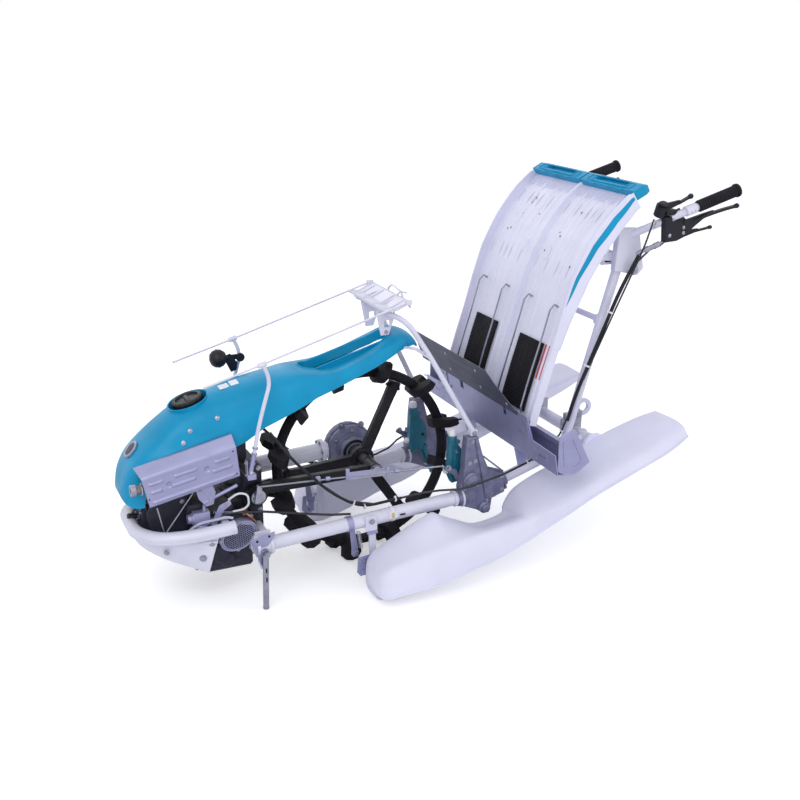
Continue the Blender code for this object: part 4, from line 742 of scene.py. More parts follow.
def make_surfaces():
    hue = bpy.context.scene.transplanter_colours
    surface("white_plastic", hue.white_plastic, 0.44, fine=900, coarse=7, bump=0.1, deep=0.0003, shade=0.93,
            dust=0.06)
    surface("white_paint", hue.white_paint, 0.36, fine=450, coarse=14, bump=0.1, deep=0.0003, shade=0.9,
            wear=(0.0012, 0.5, (0.36, 0.35, 0.37), 0.6), dust=0.2, coat=0.25)
    surface("teal_plastic", hue.teal_plastic, 0.34, fine=1100, coarse=9, bump=0.07, deep=0.0002, shade=0.84,
            wear=(0.0012, 0.3, (0.04, 0.42, 0.64), 0.0), dust=0.05, shine=0.25)
    surface("teal_paint", hue.teal_paint, 0.42, fine=300, coarse=30, bump=0.3, deep=0.0005, shade=0.7,
            wear=(0.0012, 0.5, (0.3, 0.36, 0.4), 0.6), dust=0.2)
    surface("grey_casting", hue.grey_casting, 0.5, 0.45, fine=260, coarse=40, bump=0.45, deep=0.0006,
            shade=0.72, wear=(0.0012, 0.6, BARE, 0.9), dust=0.2)
    surface("dark_casting", hue.dark_casting, 0.52, 0.35, fine=220, coarse=35, bump=0.5, deep=0.0006,
            shade=0.6, wear=(0.0012, 0.45, (0.28, 0.28, 0.32), 0.85), dust=0.25)
    surface("dark_sheet", hue.dark_sheet, 0.48, 0.25, fine=400, coarse=12, bump=0.15, deep=0.0003, shade=0.8,
            wear=(0.0008, 0.5, (0.34, 0.34, 0.38), 0.8), dust=0.15, streak=(60.0, (1.0, 0.06, 1.0)))
    surface("black_steel", hue.black_steel, 0.42, 0.15, fine=350, coarse=25, bump=0.2, deep=0.0004,
            shade=0.65, wear=(0.0012, 0.4, (0.16, 0.16, 0.19), 0.8), dust=0.06, shine=0.35)
    surface("black_rubber", hue.black_rubber, 0.68, fine=500, coarse=18, bump=0.35, deep=0.0005, shade=0.62,
            wear=(0.002, 0.25, (0.04, 0.04, 0.05), 0.0), dust=0.06, shine=0.25)
    surface("black_plastic", hue.black_plastic, 0.4, fine=900, coarse=20, bump=0.2, deep=0.0003, shade=0.7,
            wear=(0.001, 0.3, (0.06, 0.06, 0.08), 0.0), dust=0.04, shine=0.35)
    surface("cable_sheath", (0.01, 0.01, 0.016), 0.36, fine=650, coarse=45, bump=0.12, deep=0.0002, shade=0.6,
            dust=0.1, coat=0.2)
    surface("silver_sheet", hue.silver_sheet, 0.36, 0.55, fine=500, coarse=16, bump=0.1, deep=0.0003,
            shade=0.82, wear=(0.001, 0.5, (0.62, 0.62, 0.68), 0.9), dust=0.12,
            streak=(55.0, (0.05, 1.0, 1.0)))
    surface("steel", hue.steel, 0.28, 0.9, fine=800, coarse=60, bump=0.12, deep=0.0002, shade=0.7,
            wear=STEEL_WEAR, dust=0.1, streak=(90.0, (1.0, 1.0, 0.1)))
    surface("exhaust_steel", (0.3, 0.27, 0.27), 0.45, 0.85, fine=300, coarse=18, bump=0.3, deep=0.0004,
            shade=0.55, wear=STEEL_WEAR, dust=0.2)
    surface("copper", (0.55, 0.23, 0.12), 0.35, 0.95, fine=700, coarse=50, bump=0.15, deep=0.0002, shade=0.6,
            wear=(0.0008, 0.5, (0.85, 0.45, 0.28), 1.0), dust=0.1)
    surface("white_nylon", (0.78, 0.78, 0.84), 0.42, fine=800, coarse=80, bump=0.08, deep=0.0002, shade=0.92,
            dust=0.1)
    surface("bare_label", (0.72, 0.74, 0.8), 0.38, fine=1200, coarse=30, bump=0.05, deep=0.0001, shade=0.94,
            dust=0.08, coat=0.3)
    surface("red_label", (0.62, 0.05, 0.06), 0.38, fine=1200, coarse=30, bump=0.05, deep=0.0001, shade=0.85,
            dust=0.08, coat=0.3)
    surface("yellow_label", (0.62, 0.52, 0.16), 0.42, fine=1200, coarse=30, bump=0.05, deep=0.0001,
            shade=0.85, dust=0.08, coat=0.2)
    # Painted shade: a near-black matt finish for thin discs and sheets that stand for the shade inside holes,
    # bores, slots and behind the starter grille.
    surface("hollow", (0.006, 0.006, 0.01), 0.8, fine=300, coarse=30, bump=0.3, deep=0.0003, shade=0.5,
            dust=0.0)


NODE_SURFACES = {
    "white_plastic": ("seedling_tray",),
    "white_paint": ("frame_tube_left", "frame_tube_right", "rear_frame", "chain_case", "mat_rack",
                    "rear_struts", "float_link_left", "float_link_right"),
    "teal_plastic": ("tray_cap",),
    "teal_paint": ("planting_arm_left", "planting_arm_right"),
    "grey_casting": ("hub_gearcase", "planter_case_left", "planter_case_right"),
    "dark_casting": ("engine", "transmission"),
    "dark_sheet": ("guide_shield",),
    "black_steel": ("wheel_spider", "planter_crank_left", "planter_crank_right", "left_wheel_arm"),
    "black_rubber": ("wheel_rim", "feed_belt_left", "feed_belt_right", "grip_left", "grip_right"),
    "black_plastic": ("air_cleaner", "fuel_tank", "lift_lever", "control_left", "control_right"),
    "cable_sheath": ("cable_left", "cable_right", "cable_throttle", "cable_engine"),
    "silver_sheet": ("recoil_cover", "seedling_guide"),
    "steel": ("feed_shaft", "mat_rods", "stand_leg", "shift_rod"),
    "exhaust_steel": ("muffler",),
}


def finish_parts():
    """Each CAD part that stays in sight gets its own finish."""
    make_surfaces()
    for name, parts in NODE_SURFACES.items():
        for part in parts:
            slots = NODES[part].data.materials
            for i in range(len(slots)):
                slots[i] = bpy.data.materials[name]
            if not len(slots):
                slots.append(bpy.data.materials[name])


# ---------------------------------------------------------------- hood
# Screws in the hood's side: place and facing.
SIDE_SCREWS = (
    ((0.497, 0.0945, 0.5733), (0.11, 0.91, 0.39)), ((0.58, 0.094, 0.5449), (0.13, 0.92, 0.36)),
    ((0.604, 0.1018, 0.5142), (0.2, 0.91, 0.36)),
)


def hood_ring(row):
    x, top, crease_w, crease_z, low_w, low_z = row
    side = [(low_w, low_z), (low_w * 0.45 + crease_w * 0.55 + 0.004, low_z * 0.45 + crease_z * 0.55),
            (crease_w, crease_z)]
    half = []
    for t in (0.0, 0.15, 0.35, 0.6, 0.85, 0.96):
        a, b, c = (1 - t) * (1 - 2 * t), 4 * t * (1 - t), t * (2 * t - 1)
        half.append([a * p + b * q + c * r for p, q, r in zip(*side)])
    deck = [(crease_w, crease_z), (crease_w * 0.8, crease_z * 0.42 + top * 0.58),
            (crease_w * 0.45, crease_z * 0.12 + top * 0.88), (0.0, top),
            (-crease_w * 0.45, crease_z * 0.12 + top * 0.88)]
    half += through(deck, 4)[1:13]
    ring = [at(x, y, z) for y, z in half]
    return ring + [opposite(p) for p in ring[-2::-1]]


def hood_rows():
    """Hood sections with smooth ones in between; the lower edge keeps its step behind the nose."""
    rows = through([row[:5] for row in HOOD], 4)
    for i, row in enumerate(rows):
        span, step = divmod(i, 4)
        low = HOOD[span][5]
        ahead = HOOD[min(span + 1, len(HOOD) - 1)][5]
        row.append(low + (ahead - low) * step / 4)
    return rows


def slot_outline(grow=0.0, steps=14):
    """Ends and sides of the hood's handle slot, as (x, y) pairs."""
    reach = SLOT_HALF + grow
    outline = []
    for centre, first in ((SLOT_X[0] + SLOT_HALF, 90.0), (SLOT_X[1] - SLOT_HALF, -90.0)):
        for i in range(steps + 1):
            a = math.radians(first + 180.0 * i / steps)
            outline.append((centre + reach * math.cos(a), reach * math.sin(a)))
    return outline


def hood_shell():
    """The hood's skin, and a function for the places on its top."""
    rings = [hood_ring(row) for row in hood_rows()]
    rows, count = len(rings), len(rings[0])
    shell = skin(rings, loop=False)
    tree = BVHTree.FromBMesh(shell)
    shell.verts.ensure_lookup_table()
    for ends in (shell.verts[:count], shell.verts[-count:]):
        shell.faces.new(list(ends))
    bmesh.ops.recalc_face_normals(shell, faces=shell.faces)
    shell.normal_update()
    shell.verts.index_update()
    joined = bmesh.new()
    outside = [joined.verts.new(v.co) for v in shell.verts]
    inside = [joined.verts.new(v.co - v.normal * sizes().hood_skin) for v in shell.verts]
    for face in shell.faces:
        index = [v.index for v in face.verts]
        joined.faces.new([outside[i] for i in index])
        joined.faces.new([inside[i] for i in reversed(index)])
    rim = [i * count for i in range(rows)] + [(i + 1) * count - 1 for i in range(rows)][::-1]
    for a, b in zip(rim, rim[1:] + rim[:1]):
        joined.faces.new((outside[a], outside[b], inside[b], inside[a]))
    bmesh.ops.recalc_face_normals(joined, faces=joined.faces)
    shell.free()

    def top_at(a, b):
        return tree.ray_cast(at(a, b, 1.0), Vector(DOWN))[0] or at(a, b, 0.7)

    return joined, top_at


def build_hood():
    shell, top_at = hood_shell()
    top = at(*CAP_TOP)
    slot = skin([[at(a, b, level) for a, b in slot_outline()] for level in (0.6, 0.9)])
    filler = turned(((-0.075, FILLER_R), (0.1, FILLER_R)), top, CAP_AXIS, 48)
    shell = cut(shell, [slot, filler])
    edge = [top_at(a, b) for a, b in slot_outline(0.0005)]
    lip = tube(edge, 0.0032, 8, closed=True)
    outer = [top_at(a, b) - Vector((0.0, 0.0, 0.001)) for a, b in slot_outline()]
    inner = [top_at(a, b) for a, b in slot_outline(-0.003)]
    drop = Vector((0.0, 0.0, -0.03))
    wall = skin([[a, b, b + drop, a + drop] for a, b in zip(outer, inner)], closed=True)
    cup = turned(((-0.003, FILLER_R + 0.003), (-0.0015, FILLER_R + 0.001), (-0.003, FILLER_R - 0.002),
                  (-0.036, FILLER_R - 0.005), (-0.046, FILLER_R - 0.012), (-0.048, 0.03), (-0.051, 0.03),
                  (-0.049, FILLER_R - 0.008), (-0.038, FILLER_R - 0.001), (-0.006, FILLER_R + 0.0015)),
                 top, CAP_AXIS, 48, hollow=True)
    screws = [(at(*place), Vector(face)) for place, face in SIDE_SCREWS]
    seats = [ring_band(place - face * 0.0015, face, 0.0085, 0.0115, 0.003) for place, face in screws]
    piece("hood_shell", [("teal_plastic", [shell, lip, wall, cup] + both(seats))], smooth=24.0,
          stands_for=("hood",))
    # Painted shade: dark discs inside the screw seats stand for the shade in the screws' recesses.
    floor = [turned(((-0.0005, 0.0086), (0.0006, 0.0086)), place, face, 20) for place, face in screws]
    piece("hood_screw_recess_shades", [("dark_sheet", both(floor))])
    fit("hood_screws", "round_screws",
        flip([(place + face * 0.0006, face, 0.0058) for place, face in screws]))
    nose, face = at(0.7375, 0.0, 0.4785), (0.73, 0.0, 0.68)
    badge = ring_band(nose - Vector(face) * 0.002, face, 0.0205, 0.0285, 0.0075, 48)
    disc = turned(((0.0, 0.0225), (0.004, 0.0225), (0.0052, 0.019), (0.0056, 0.002)), nose, face, 40)
    piece("nose_roundel", [("steel", [badge]), ("dark_sheet", [disc])])
    plates = [plaque(top_at(a, b), n, (1.0, 0.0, -0.2), w, h, 0.0009) for a, b, n, w, h in (
        (0.452, 0.014, (0.2, 0.1, 0.97), 0.03, 0.03), (0.42, 0.014, (0.2, 0.1, 0.97), 0.026, 0.034))]
    piece("hood_plates", [("bare_label", plates)])


def build_fuel_cap():
    top = at(*CAP_TOP) + CAP_AXIS * 0.006
    body = turned(((-0.046, 0.043), (-0.0435, 0.0462), (-0.008, CAP_R), (-0.003, CAP_R - 0.001),
                   (0.0, CAP_R - 0.005), (0.0, 0.036), (-0.006, 0.0335), (-0.0062, 0.004)),
                  top, CAP_AXIS, 120, 20, 0.0011)
    across = Vector(LEFT)
    along = CAP_AXIS.cross(across)
    rings = []
    for t, reach, height in ((-1.0, 0.0058, 0.0005), (-0.9, 0.0078, 0.0045),
                             (0.9, 0.0078, 0.0045), (1.0, 0.0058, 0.0005)):
        foot = top + across * 0.03 * t - CAP_AXIS * 0.0065
        rings.append([foot - along * reach, foot + along * reach,
                      foot + along * reach * 0.7 + CAP_AXIS * height,
                      foot - along * reach * 0.7 + CAP_AXIS * height])
    piece("filler_cap", [("black_plastic", [body, softened(skin(rings), 0.0008)])], smooth=40.0,
          stands_for=("fuel_cap",))


# ---------------------------------------------------------------- exhaust guard and bumper
GUARD_FRONT = ((0.757, 0.112, 0.465), (0.743, 0.152, 0.441), (0.724, 0.152, 0.349), (0.722, 0.138, 0.343))
GUARD_REAR = ((0.464, 0.119, 0.529), (0.46, 0.152, 0.496), (0.452, 0.152, 0.402), (0.452, 0.138, 0.396))
# Pressed ribs of the guard: start, end and height up its side, as fractions.
GUARD_RIBS = ((0.06, 0.2, 0.74), (0.33, 0.56, 0.74), (0.76, 0.91, 0.74),
              (0.06, 0.17, 0.46), (0.28, 0.53, 0.46), (0.72, 0.93, 0.46), (0.05, 0.95, 0.13))
GUARD_DIMPLES = ((0.255, 0.54), (0.665, 0.6))


def step_up(value, low, high):
    t = min(1.0, max(0.0, (value - low) / (high - low)))
    return t * t * (3.0 - 2.0 * t)


def guard_press(u, v, depth):
    """How far the guard's side stands out at a place along (u) and up (v) it."""
    out = 0.0
    for start, end, level in GUARD_RIBS:
        ends = step_up(u, start - 0.012, start + 0.012) * (1.0 - step_up(u, end - 0.012, end + 0.012))
        out = max(out, depth * ends * (1.0 - step_up(abs(v - level), 0.02, 0.066)))
    for at_u, at_v in GUARD_DIMPLES:
        away = math.hypot((u - at_u) * 0.288, (v - at_v) * 0.093)
        out -= depth * 0.9 * (1.0 - step_up(away, 0.0055, 0.0105))
    return out


def guard_place(u, v):
    """The place on the guard's flat side at a fraction along from the front and up from the bottom."""
    low = Vector(GUARD_FRONT[2]).lerp(Vector(GUARD_REAR[2]), u)
    high = Vector(GUARD_FRONT[1]).lerp(Vector(GUARD_REAR[1]), u)
    return at(*low.lerp(high, v))


def build_exhaust_guard():
    depth = sizes().press_depth
    rings = []
    columns, levels = 150, 60
    for i in range(columns + 1):
        u = i / columns
        flange, corner, foot, lip = [
            at(*Vector(a).lerp(Vector(b), u)) for a, b in zip(GUARD_FRONT, GUARD_REAR)
        ]
        ring = [flange.lerp(corner, t) for t in (0.0, 0.12, 0.5, 0.84)]
        ring.append(flange.lerp(corner, 0.93) + (foot - corner) * 0.012)
        for j in range(levels + 1):
            v = 0.955 - 0.92 * j / levels
            point = foot.lerp(corner, v)
            point.y += guard_press(u, v, depth)
            ring.append(point)
        ring += [foot.lerp(corner, 0.01) + Vector((0.0, -0.0015, 0.0)),
                 foot + Vector((0.0, -0.005, -0.001)), lip]
        rings.append(ring)
    sheet = skin(rings, loop=False)
    sheet.normal_update()
    if sum(face.normal.y for face in sheet.faces) < 0:
        bmesh.ops.reverse_faces(sheet, faces=sheet.faces)
    made = piece("exhaust_guard_sheet", [("silver_sheet", [sheet])], smooth=40.0,
                 stands_for=("exhaust_guard",))
    wall = made.modifiers.new("wall", "SOLIDIFY")
    wall.thickness = 0.0014
    wall.offset = -1.0
    piece("exhaust_guard_stays", [("steel", [
        block((0.556, 0.576), (0.129, 0.15), (0.4, 0.42), 0.001),
        block((0.512, 0.528), (0.102, 0.15), (0.452, 0.464), 0.001),
        block((0.65, 0.664), (0.118, 0.15), (0.418, 0.43), 0.001),
    ])])
    # Painted shade of the guard's three holes: dark discs on its side.
    corners = [(guard_place(u, v), LEFT, 0.0026) for u, v in ((0.02, 0.28), (0.96, 0.9), (0.97, 0.12))]
    fit("guard_holes", "hole_shade_discs", corners, "hollow")
    centres = [(guard_place(u, v) - Vector((0.0, depth * 0.9, 0.0)), LEFT, 0.0044) for u, v in GUARD_DIMPLES]
    fit("guard_screws", "round_screws", centres)
    # The near-black disc inside the pipe is painted shade of its bore.
    pipe = at(0.768, 0.128, 0.402)
    piece("exhaust_outlet", [
        ("steel", [ring_band(pipe - Vector((0.012, 0.0, 0.0)), AHEAD, 0.0105, 0.0175, 0.0165, 32),
                   ring_band(pipe - Vector((0.03, 0.0, 0.0)), AHEAD, 0.0125, 0.02, 0.005, 32)]),
        ("hollow", [turned(((0.0, 0.0108), (0.001, 0.0108)), pipe + Vector((0.0012, 0.0, 0.0)), AHEAD, 24)]),
    ])


SKIRT_TOP = ((0.528, 0.184, 0.252), (0.59, 0.176, 0.247), (0.65, 0.162, 0.243), (0.705, 0.134, 0.24),
             (0.746, 0.075, 0.238), (0.758, 0.0, 0.238))
SKIRT_LOW = ((0.566, 0.166, 0.113), (0.622, 0.152, 0.138), (0.668, 0.138, 0.158), (0.71, 0.108, 0.176),
             (0.742, 0.062, 0.19), (0.752, 0.0, 0.196))


def round_nose(rows):
    """A left-hand line of places carried round the nose to the right."""
    full = [list(row) for row in rows] + [[a, -b, c] for a, b, c in rows[-2::-1]]
    return [at(*row) for row in through(full, 7)]


def build_bumper():
    line = ((0.489, 0.197, 0.262), (0.6, 0.186, 0.25), (0.7, 0.155, 0.243), (0.758, 0.08, 0.243))
    full = [at(*p) for p in line] + [at(a, -b, c) for a, b, c in line[::-1]]
    # The roll has one shallow groove along its outer side.
    roll_r, groove_depth, groove_at, groove_width = 0.0205, 0.0032, 3.45, 0.22
    section = []
    for i in range(28):
        angle = math.tau * i / 28
        away = math.atan2(math.sin(angle - groove_at), math.cos(angle - groove_at)) / groove_width
        r = roll_r - groove_depth * math.exp(-(away ** 2))
        section.append((r * math.cos(angle), r * math.sin(angle)))
    roll = sweep(bent(full, 0.05, 8), section)
    centre = at(0.4, 0.0, 0.0)
    rings = []
    for upper, lower in zip(round_nose(SKIRT_TOP), round_nose(SKIRT_LOW)):
        out = Vector((upper.x - centre.x, upper.y, 0.0)).normalized()
        ring = [upper.lerp(lower, t) + out * 0.005 * math.sin(math.pi * t)
                for t in (0.0, 0.25, 0.5, 0.75, 1.0)]
        fold = lower - out * 0.008 + Vector((0.0, 0.0, -0.001))
        ring += [fold, fold + Vector((0.0, 0.0, 0.003)), lower - out * 0.003 + Vector((0.0, 0.0, 0.003))]
        ring += [upper.lerp(lower, t) + out * (0.005 * math.sin(math.pi * t) - 0.003)
                 for t in (0.75, 0.5, 0.25, 0.0)]
        rings.append(ring)
    ridge = [p.lerp(q, 0.24) + Vector((p.x - centre.x, p.y, 0.0)).normalized() * 0.0035
             for p, q in zip(round_nose(SKIRT_TOP), round_nose(SKIRT_LOW))]
    ridge = tube(ridge, 0.0055, 10)
    end = at(0.489, 0.197, 0.262)
    along = (end - at(0.6, 0.186, 0.25)).normalized()
    cups = [turned(((-0.004, 0.0212), (0.003, 0.0212), (0.005, 0.018), (0.0056, 0.004)), end, along, 28)]
    arms = [block((0.493, 0.515), (0.112, 0.196), (0.252, 0.264), 0.002),
            block((0.576, 0.592), (0.118, 0.169), (0.184, 0.21), 0.002)]
    piece("bumper_band", [("white_paint", [roll, skin(rings), ridge] + both(cups + arms))], smooth=38.0,
          stands_for=("front_bumper",))
    spots = [(at(0.583, 0.17, 0.1672), (0.29, 0.95, -0.12), 0.0078),
             (at(0.5554, 0.1795, 0.215), (0.12, 0.99, -0.1), 0.007),
             (at(0.686, 0.1495, 0.198), (0.55, 0.83, -0.1), 0.006)]
    fit("bumper_bolts", "hex_bolts", flip(spots))


# ---------------------------------------------------------------- engine, gearbox and their fittings
def coil(start, end, radius, turns, thick):
    """A small coil spring."""
    axis = (end - start).normalized()
    side = axis.cross(Vector(UP)).normalized()
    top = axis.cross(side)
    path = []
    for i in range(turns * 12 + 1):
        a = math.tau * i / 12
        path.append(start.lerp(end, i / (turns * 12))
                    + side * radius * math.cos(a) + top * radius * math.sin(a))
    return tube(path, thick, 5, up=axis)


def build_engine_fittings():
    build_linkage()
    build_engine_bolts()
    build_recoil_grille()


def build_linkage():
    """Carburettor, levers, wires, hoses, shrouds and plug."""
    carburettor = [
        block((0.548, 0.598), (0.12, 0.148), (0.262, 0.304), 0.003),
        turned(((0.0, 0.017), (0.004, 0.019), (0.026, 0.019), (0.034, 0.01)), at(0.573, 0.134, 0.262),
               DOWN, 24),
        turned(((0.0, 0.018), (0.004, 0.018), (0.005, 0.014), (0.016, 0.014)), at(0.598, 0.134, 0.284),
               AHEAD, 24),
        block((0.5, 0.548), (0.128, 0.141), (0.264, 0.276), 0.002),
        turned(((0.0, 0.006), (0.012, 0.006), (0.012, 0.004), (0.02, 0.004)), at(0.562, 0.134, 0.304),
               UP, 14),
    ]
    levers = [
        plate(((0.486, 0.33), (0.52, 0.318), (0.548, 0.262), (0.536, 0.252), (0.506, 0.3), (0.482, 0.316)),
              (0.148, 0.15)),
        plate(((0.587, 0.383), (0.541, 0.402), (0.526, 0.36), (0.534, 0.322), (0.556, 0.318), (0.578, 0.345)),
              (0.1395, 0.1415)),
        rod(at(0.5647, 0.135, 0.329), at(0.4587, 0.135, 0.368), 0.0058, 16),
        turned(((0.0, 0.008), (0.03, 0.008), (0.032, 0.0062)), at(0.5647, 0.135, 0.329),
               at(0.4587, 0.135, 0.368) - at(0.5647, 0.135, 0.329), 16),
        coil(at(0.54, 0.151, 0.3), at(0.484, 0.151, 0.29), 0.0036, 9, 0.0008),
        rod(at(0.596, 0.1505, 0.25), at(0.52, 0.1505, 0.255), 0.0016, 8),
    ]
    arm = strip(bent([at(0.626, 0.14, 0.239), at(0.6, 0.146, 0.262), at(0.5785, 0.15, 0.2722),
                      at(0.5, 0.151, 0.278), at(0.4802, 0.15, 0.27)], 0.01), 0.007, 0.0022, LEFT)
    wire = tube(bent([at(0.6998, 0.13, 0.3366), at(0.6826, 0.13, 0.2462), at(0.5848, 0.13, 0.3728)], 0.004),
                0.0022, 8, LEFT)
    hose = tube(bent([at(0.4873, 0.13, 0.3225), at(0.455, 0.13, 0.34), at(0.4254, 0.132, 0.33),
                      at(0.424, 0.132, 0.296), at(0.44, 0.13, 0.283), at(0.474, 0.126, 0.28)], 0.02, 6),
                0.0034, 12, LEFT)
    union = [turned(((0.0, 0.0115), (0.006, 0.0115), (0.007, 0.008), (0.013, 0.008), (0.014, 0.0105),
                     (0.019, 0.0105)), at(0.437, 0.112, 0.272), LEFT, 6),
             tube(bent([at(0.437, 0.128, 0.272), at(0.425, 0.14, 0.262), at(0.405, 0.136, 0.235)], 0.01),
                  0.004, 10)]
    fuel_line = tube(bent([at(0.47, 0.085, 0.512), at(0.468, 0.112, 0.47), at(0.5, 0.122, 0.37),
                           at(0.56, 0.134, 0.34), at(0.562, 0.134, 0.322)], 0.03, 6), 0.0036, 12, LEFT)
    shrouds = [
        plate(((0.6, 0.335), (0.7, 0.35), (0.722, 0.3), (0.712, 0.205), (0.64, 0.176), (0.604, 0.2)),
              (0.0785, 0.083), 0.001),
        block((0.7, 0.73), (-0.048, 0.048), (0.214, 0.3), 0.005),
        turned(((0.0, 0.03), (0.012, 0.03), (0.018, 0.022)), at(0.52, 0.1195, 0.15), LEFT, 28),
        turned(((0.0, 0.013), (0.014, 0.013), (0.018, 0.009)), at(0.566, 0.1195, 0.152), LEFT, 8),
    ]
    plug = turned(((0.0, 0.0095), (0.008, 0.0095), (0.009, 0.006), (0.026, 0.005)), at(0.728, 0.0, 0.262),
                  (1.0, 0.0, 0.1), 16)
    boot = [
        turned(((0.0, 0.0085), (0.026, 0.01), (0.03, 0.006)), at(0.7365, 0.0, 0.264), (1.0, 0.0, 0.1), 16),
        tube(bent([at(0.75, 0.0, 0.268), at(0.752, 0.03, 0.3), at(0.7, 0.07, 0.345), at(0.61, 0.075, 0.345)],
                  0.03, 5), 0.0034, 10),
    ]
    piece("engine_linkage",
          [("silver_sheet", carburettor + levers), ("white_paint", [arm]), ("steel", [wire, plug]),
           ("white_nylon", [hose]), ("copper", union), ("cable_sheath", [fuel_line] + boot),
           ("dark_casting", shrouds)], smooth=36.0)


def build_engine_bolts():
    """Bolts of the engine and the cooling fins."""
    heads = side_spots(0.1203, 0.0062, (
        (0.418, 0.252), (0.418, 0.15), (0.578, 0.252), (0.5, 0.256), (0.418, 0.2), (0.585, 0.165)))
    heads += [(at(0.7305, y, z), AHEAD, 0.006) for y in (-0.038, 0.038) for z in (0.224, 0.29)]
    heads += side_spots(0.083, 0.005, ((0.615, 0.322), (0.7, 0.33), (0.7, 0.215), (0.64, 0.19)))
    heads += side_spots(0.1415, 0.0045, ((0.57, 0.368), (0.545, 0.335)))
    heads += side_spots(0.15, 0.004, ((0.5, 0.318), (0.532, 0.27)))
    heads += [(at(0.378, y, z), BACK, 0.0058) for y in (-0.06, 0.06) for z in (0.2, 0.37)]
    fit("engine_bolts", "hex_bolts", heads)
    starts = [0.604 + k * 0.0105 for k in range(9)]
    fins = [block((x, x + 0.0022), (-0.07, 0.078), (0.182, 0.334), 0.0) for x in starts]
    piece("cooling_fins", [("dark_casting", fins)])


def build_recoil_grille():
    """Oval grille of six-sided cells on the starter's cover."""
    tilt = math.radians(22.0)
    centre, wide, high = at(0.465, 0.0, 0.207), 0.062, 0.044

    def tilted(u, y, v):
        return centre + Vector((u * math.cos(tilt) + v * math.sin(tilt), y,
                                v * math.cos(tilt) - u * math.sin(tilt)))

    def oval(grow, y, a):
        return tilted(wide * grow * math.cos(a), y, high * grow * math.sin(a))

    rim = tube([oval(0.93, 0.1485, math.tau * i / 64) for i in range(64)], 0.0038, 8, LEFT, True)
    # Painted shade: a near-black oval sheet behind the grille stands for the shade inside the starter cover.
    back = skin([[oval(0.8, y, math.tau * i / 48) for i in range(48)] for y in (0.153, 0.1546)])
    mesh = bmesh.new()
    # Distance between cells, and each cell's radius at its corners.
    pitch = 0.0066
    cell_r = pitch / 1.732
    for row in range(-8, 9):
        for column in range(-10, 11):
            u = (column + 0.5 * (row % 2)) * pitch
            v = row * pitch * 0.866
            if math.hypot(u / (wide * 0.76), v / (high * 0.76)) > 1.0:
                continue
            turns = [math.radians(60 * k + 30) for k in range(6)]
            mesh.faces.new([mesh.verts.new(tilted(u + cell_r * math.cos(a), 0.1562, v + cell_r * math.sin(a)))
                            for a in turns])
    bmesh.ops.remove_doubles(mesh, verts=mesh.verts, dist=0.0004)
    bmesh.ops.wireframe(mesh, faces=mesh.faces, thickness=0.0016, use_replace=True, use_boundary=True,
                        use_even_offset=True)
    piece("recoil_grille", [("silver_sheet", [rim, mesh]), ("hollow", [back])])
    fit("recoil_screws", "round_screws",
        [(oval(0.93, 0.1515, math.radians(a)), LEFT, 0.0048) for a in (20, 110, 200, 290)])


def build_gearbox_fittings():
    feet, bands = [], []
    post_y, post_lean = 0.151, (-0.23, 0.0, 1.0)
    for y in (-post_y, post_y):
        feet.append(block((0.405, 0.431), (y - 0.009, y + 0.009), (0.386, 0.404), 0.001))
        feet.append(block((0.4295, 0.4325), (y - 0.009, y + 0.009), (0.392, 0.45), 0.0008))
        for z, x in ((0.432, 0.413), (0.446, 0.41), (0.462, 0.4065), (0.48, 0.4027)):
            bands.append(ring_band(at(x, y, z), post_lean, 0.006, 0.0088, 0.006, 20))
        bands.append(turned(((0.0, 0.0068), (0.05, 0.0068)), at(0.4225, y + math.copysign(0.016, y), 0.42),
                            post_lean, 14))
    piece("post_brackets", [("silver_sheet", feet + bands)])
    spots = [(at(0.4327, y, z), AHEAD, 0.0048) for y in (-post_y, post_y) for z in (0.402, 0.44)]
    sides = side_spots(0.0803, 0.0056, (
        (0.374, 0.388), (0.418, 0.388), (0.374, 0.19), (0.418, 0.19), (0.374, 0.25), (0.418, 0.25)))
    fit("gearbox_bolts", "hex_bolts", spots + flip(sides))


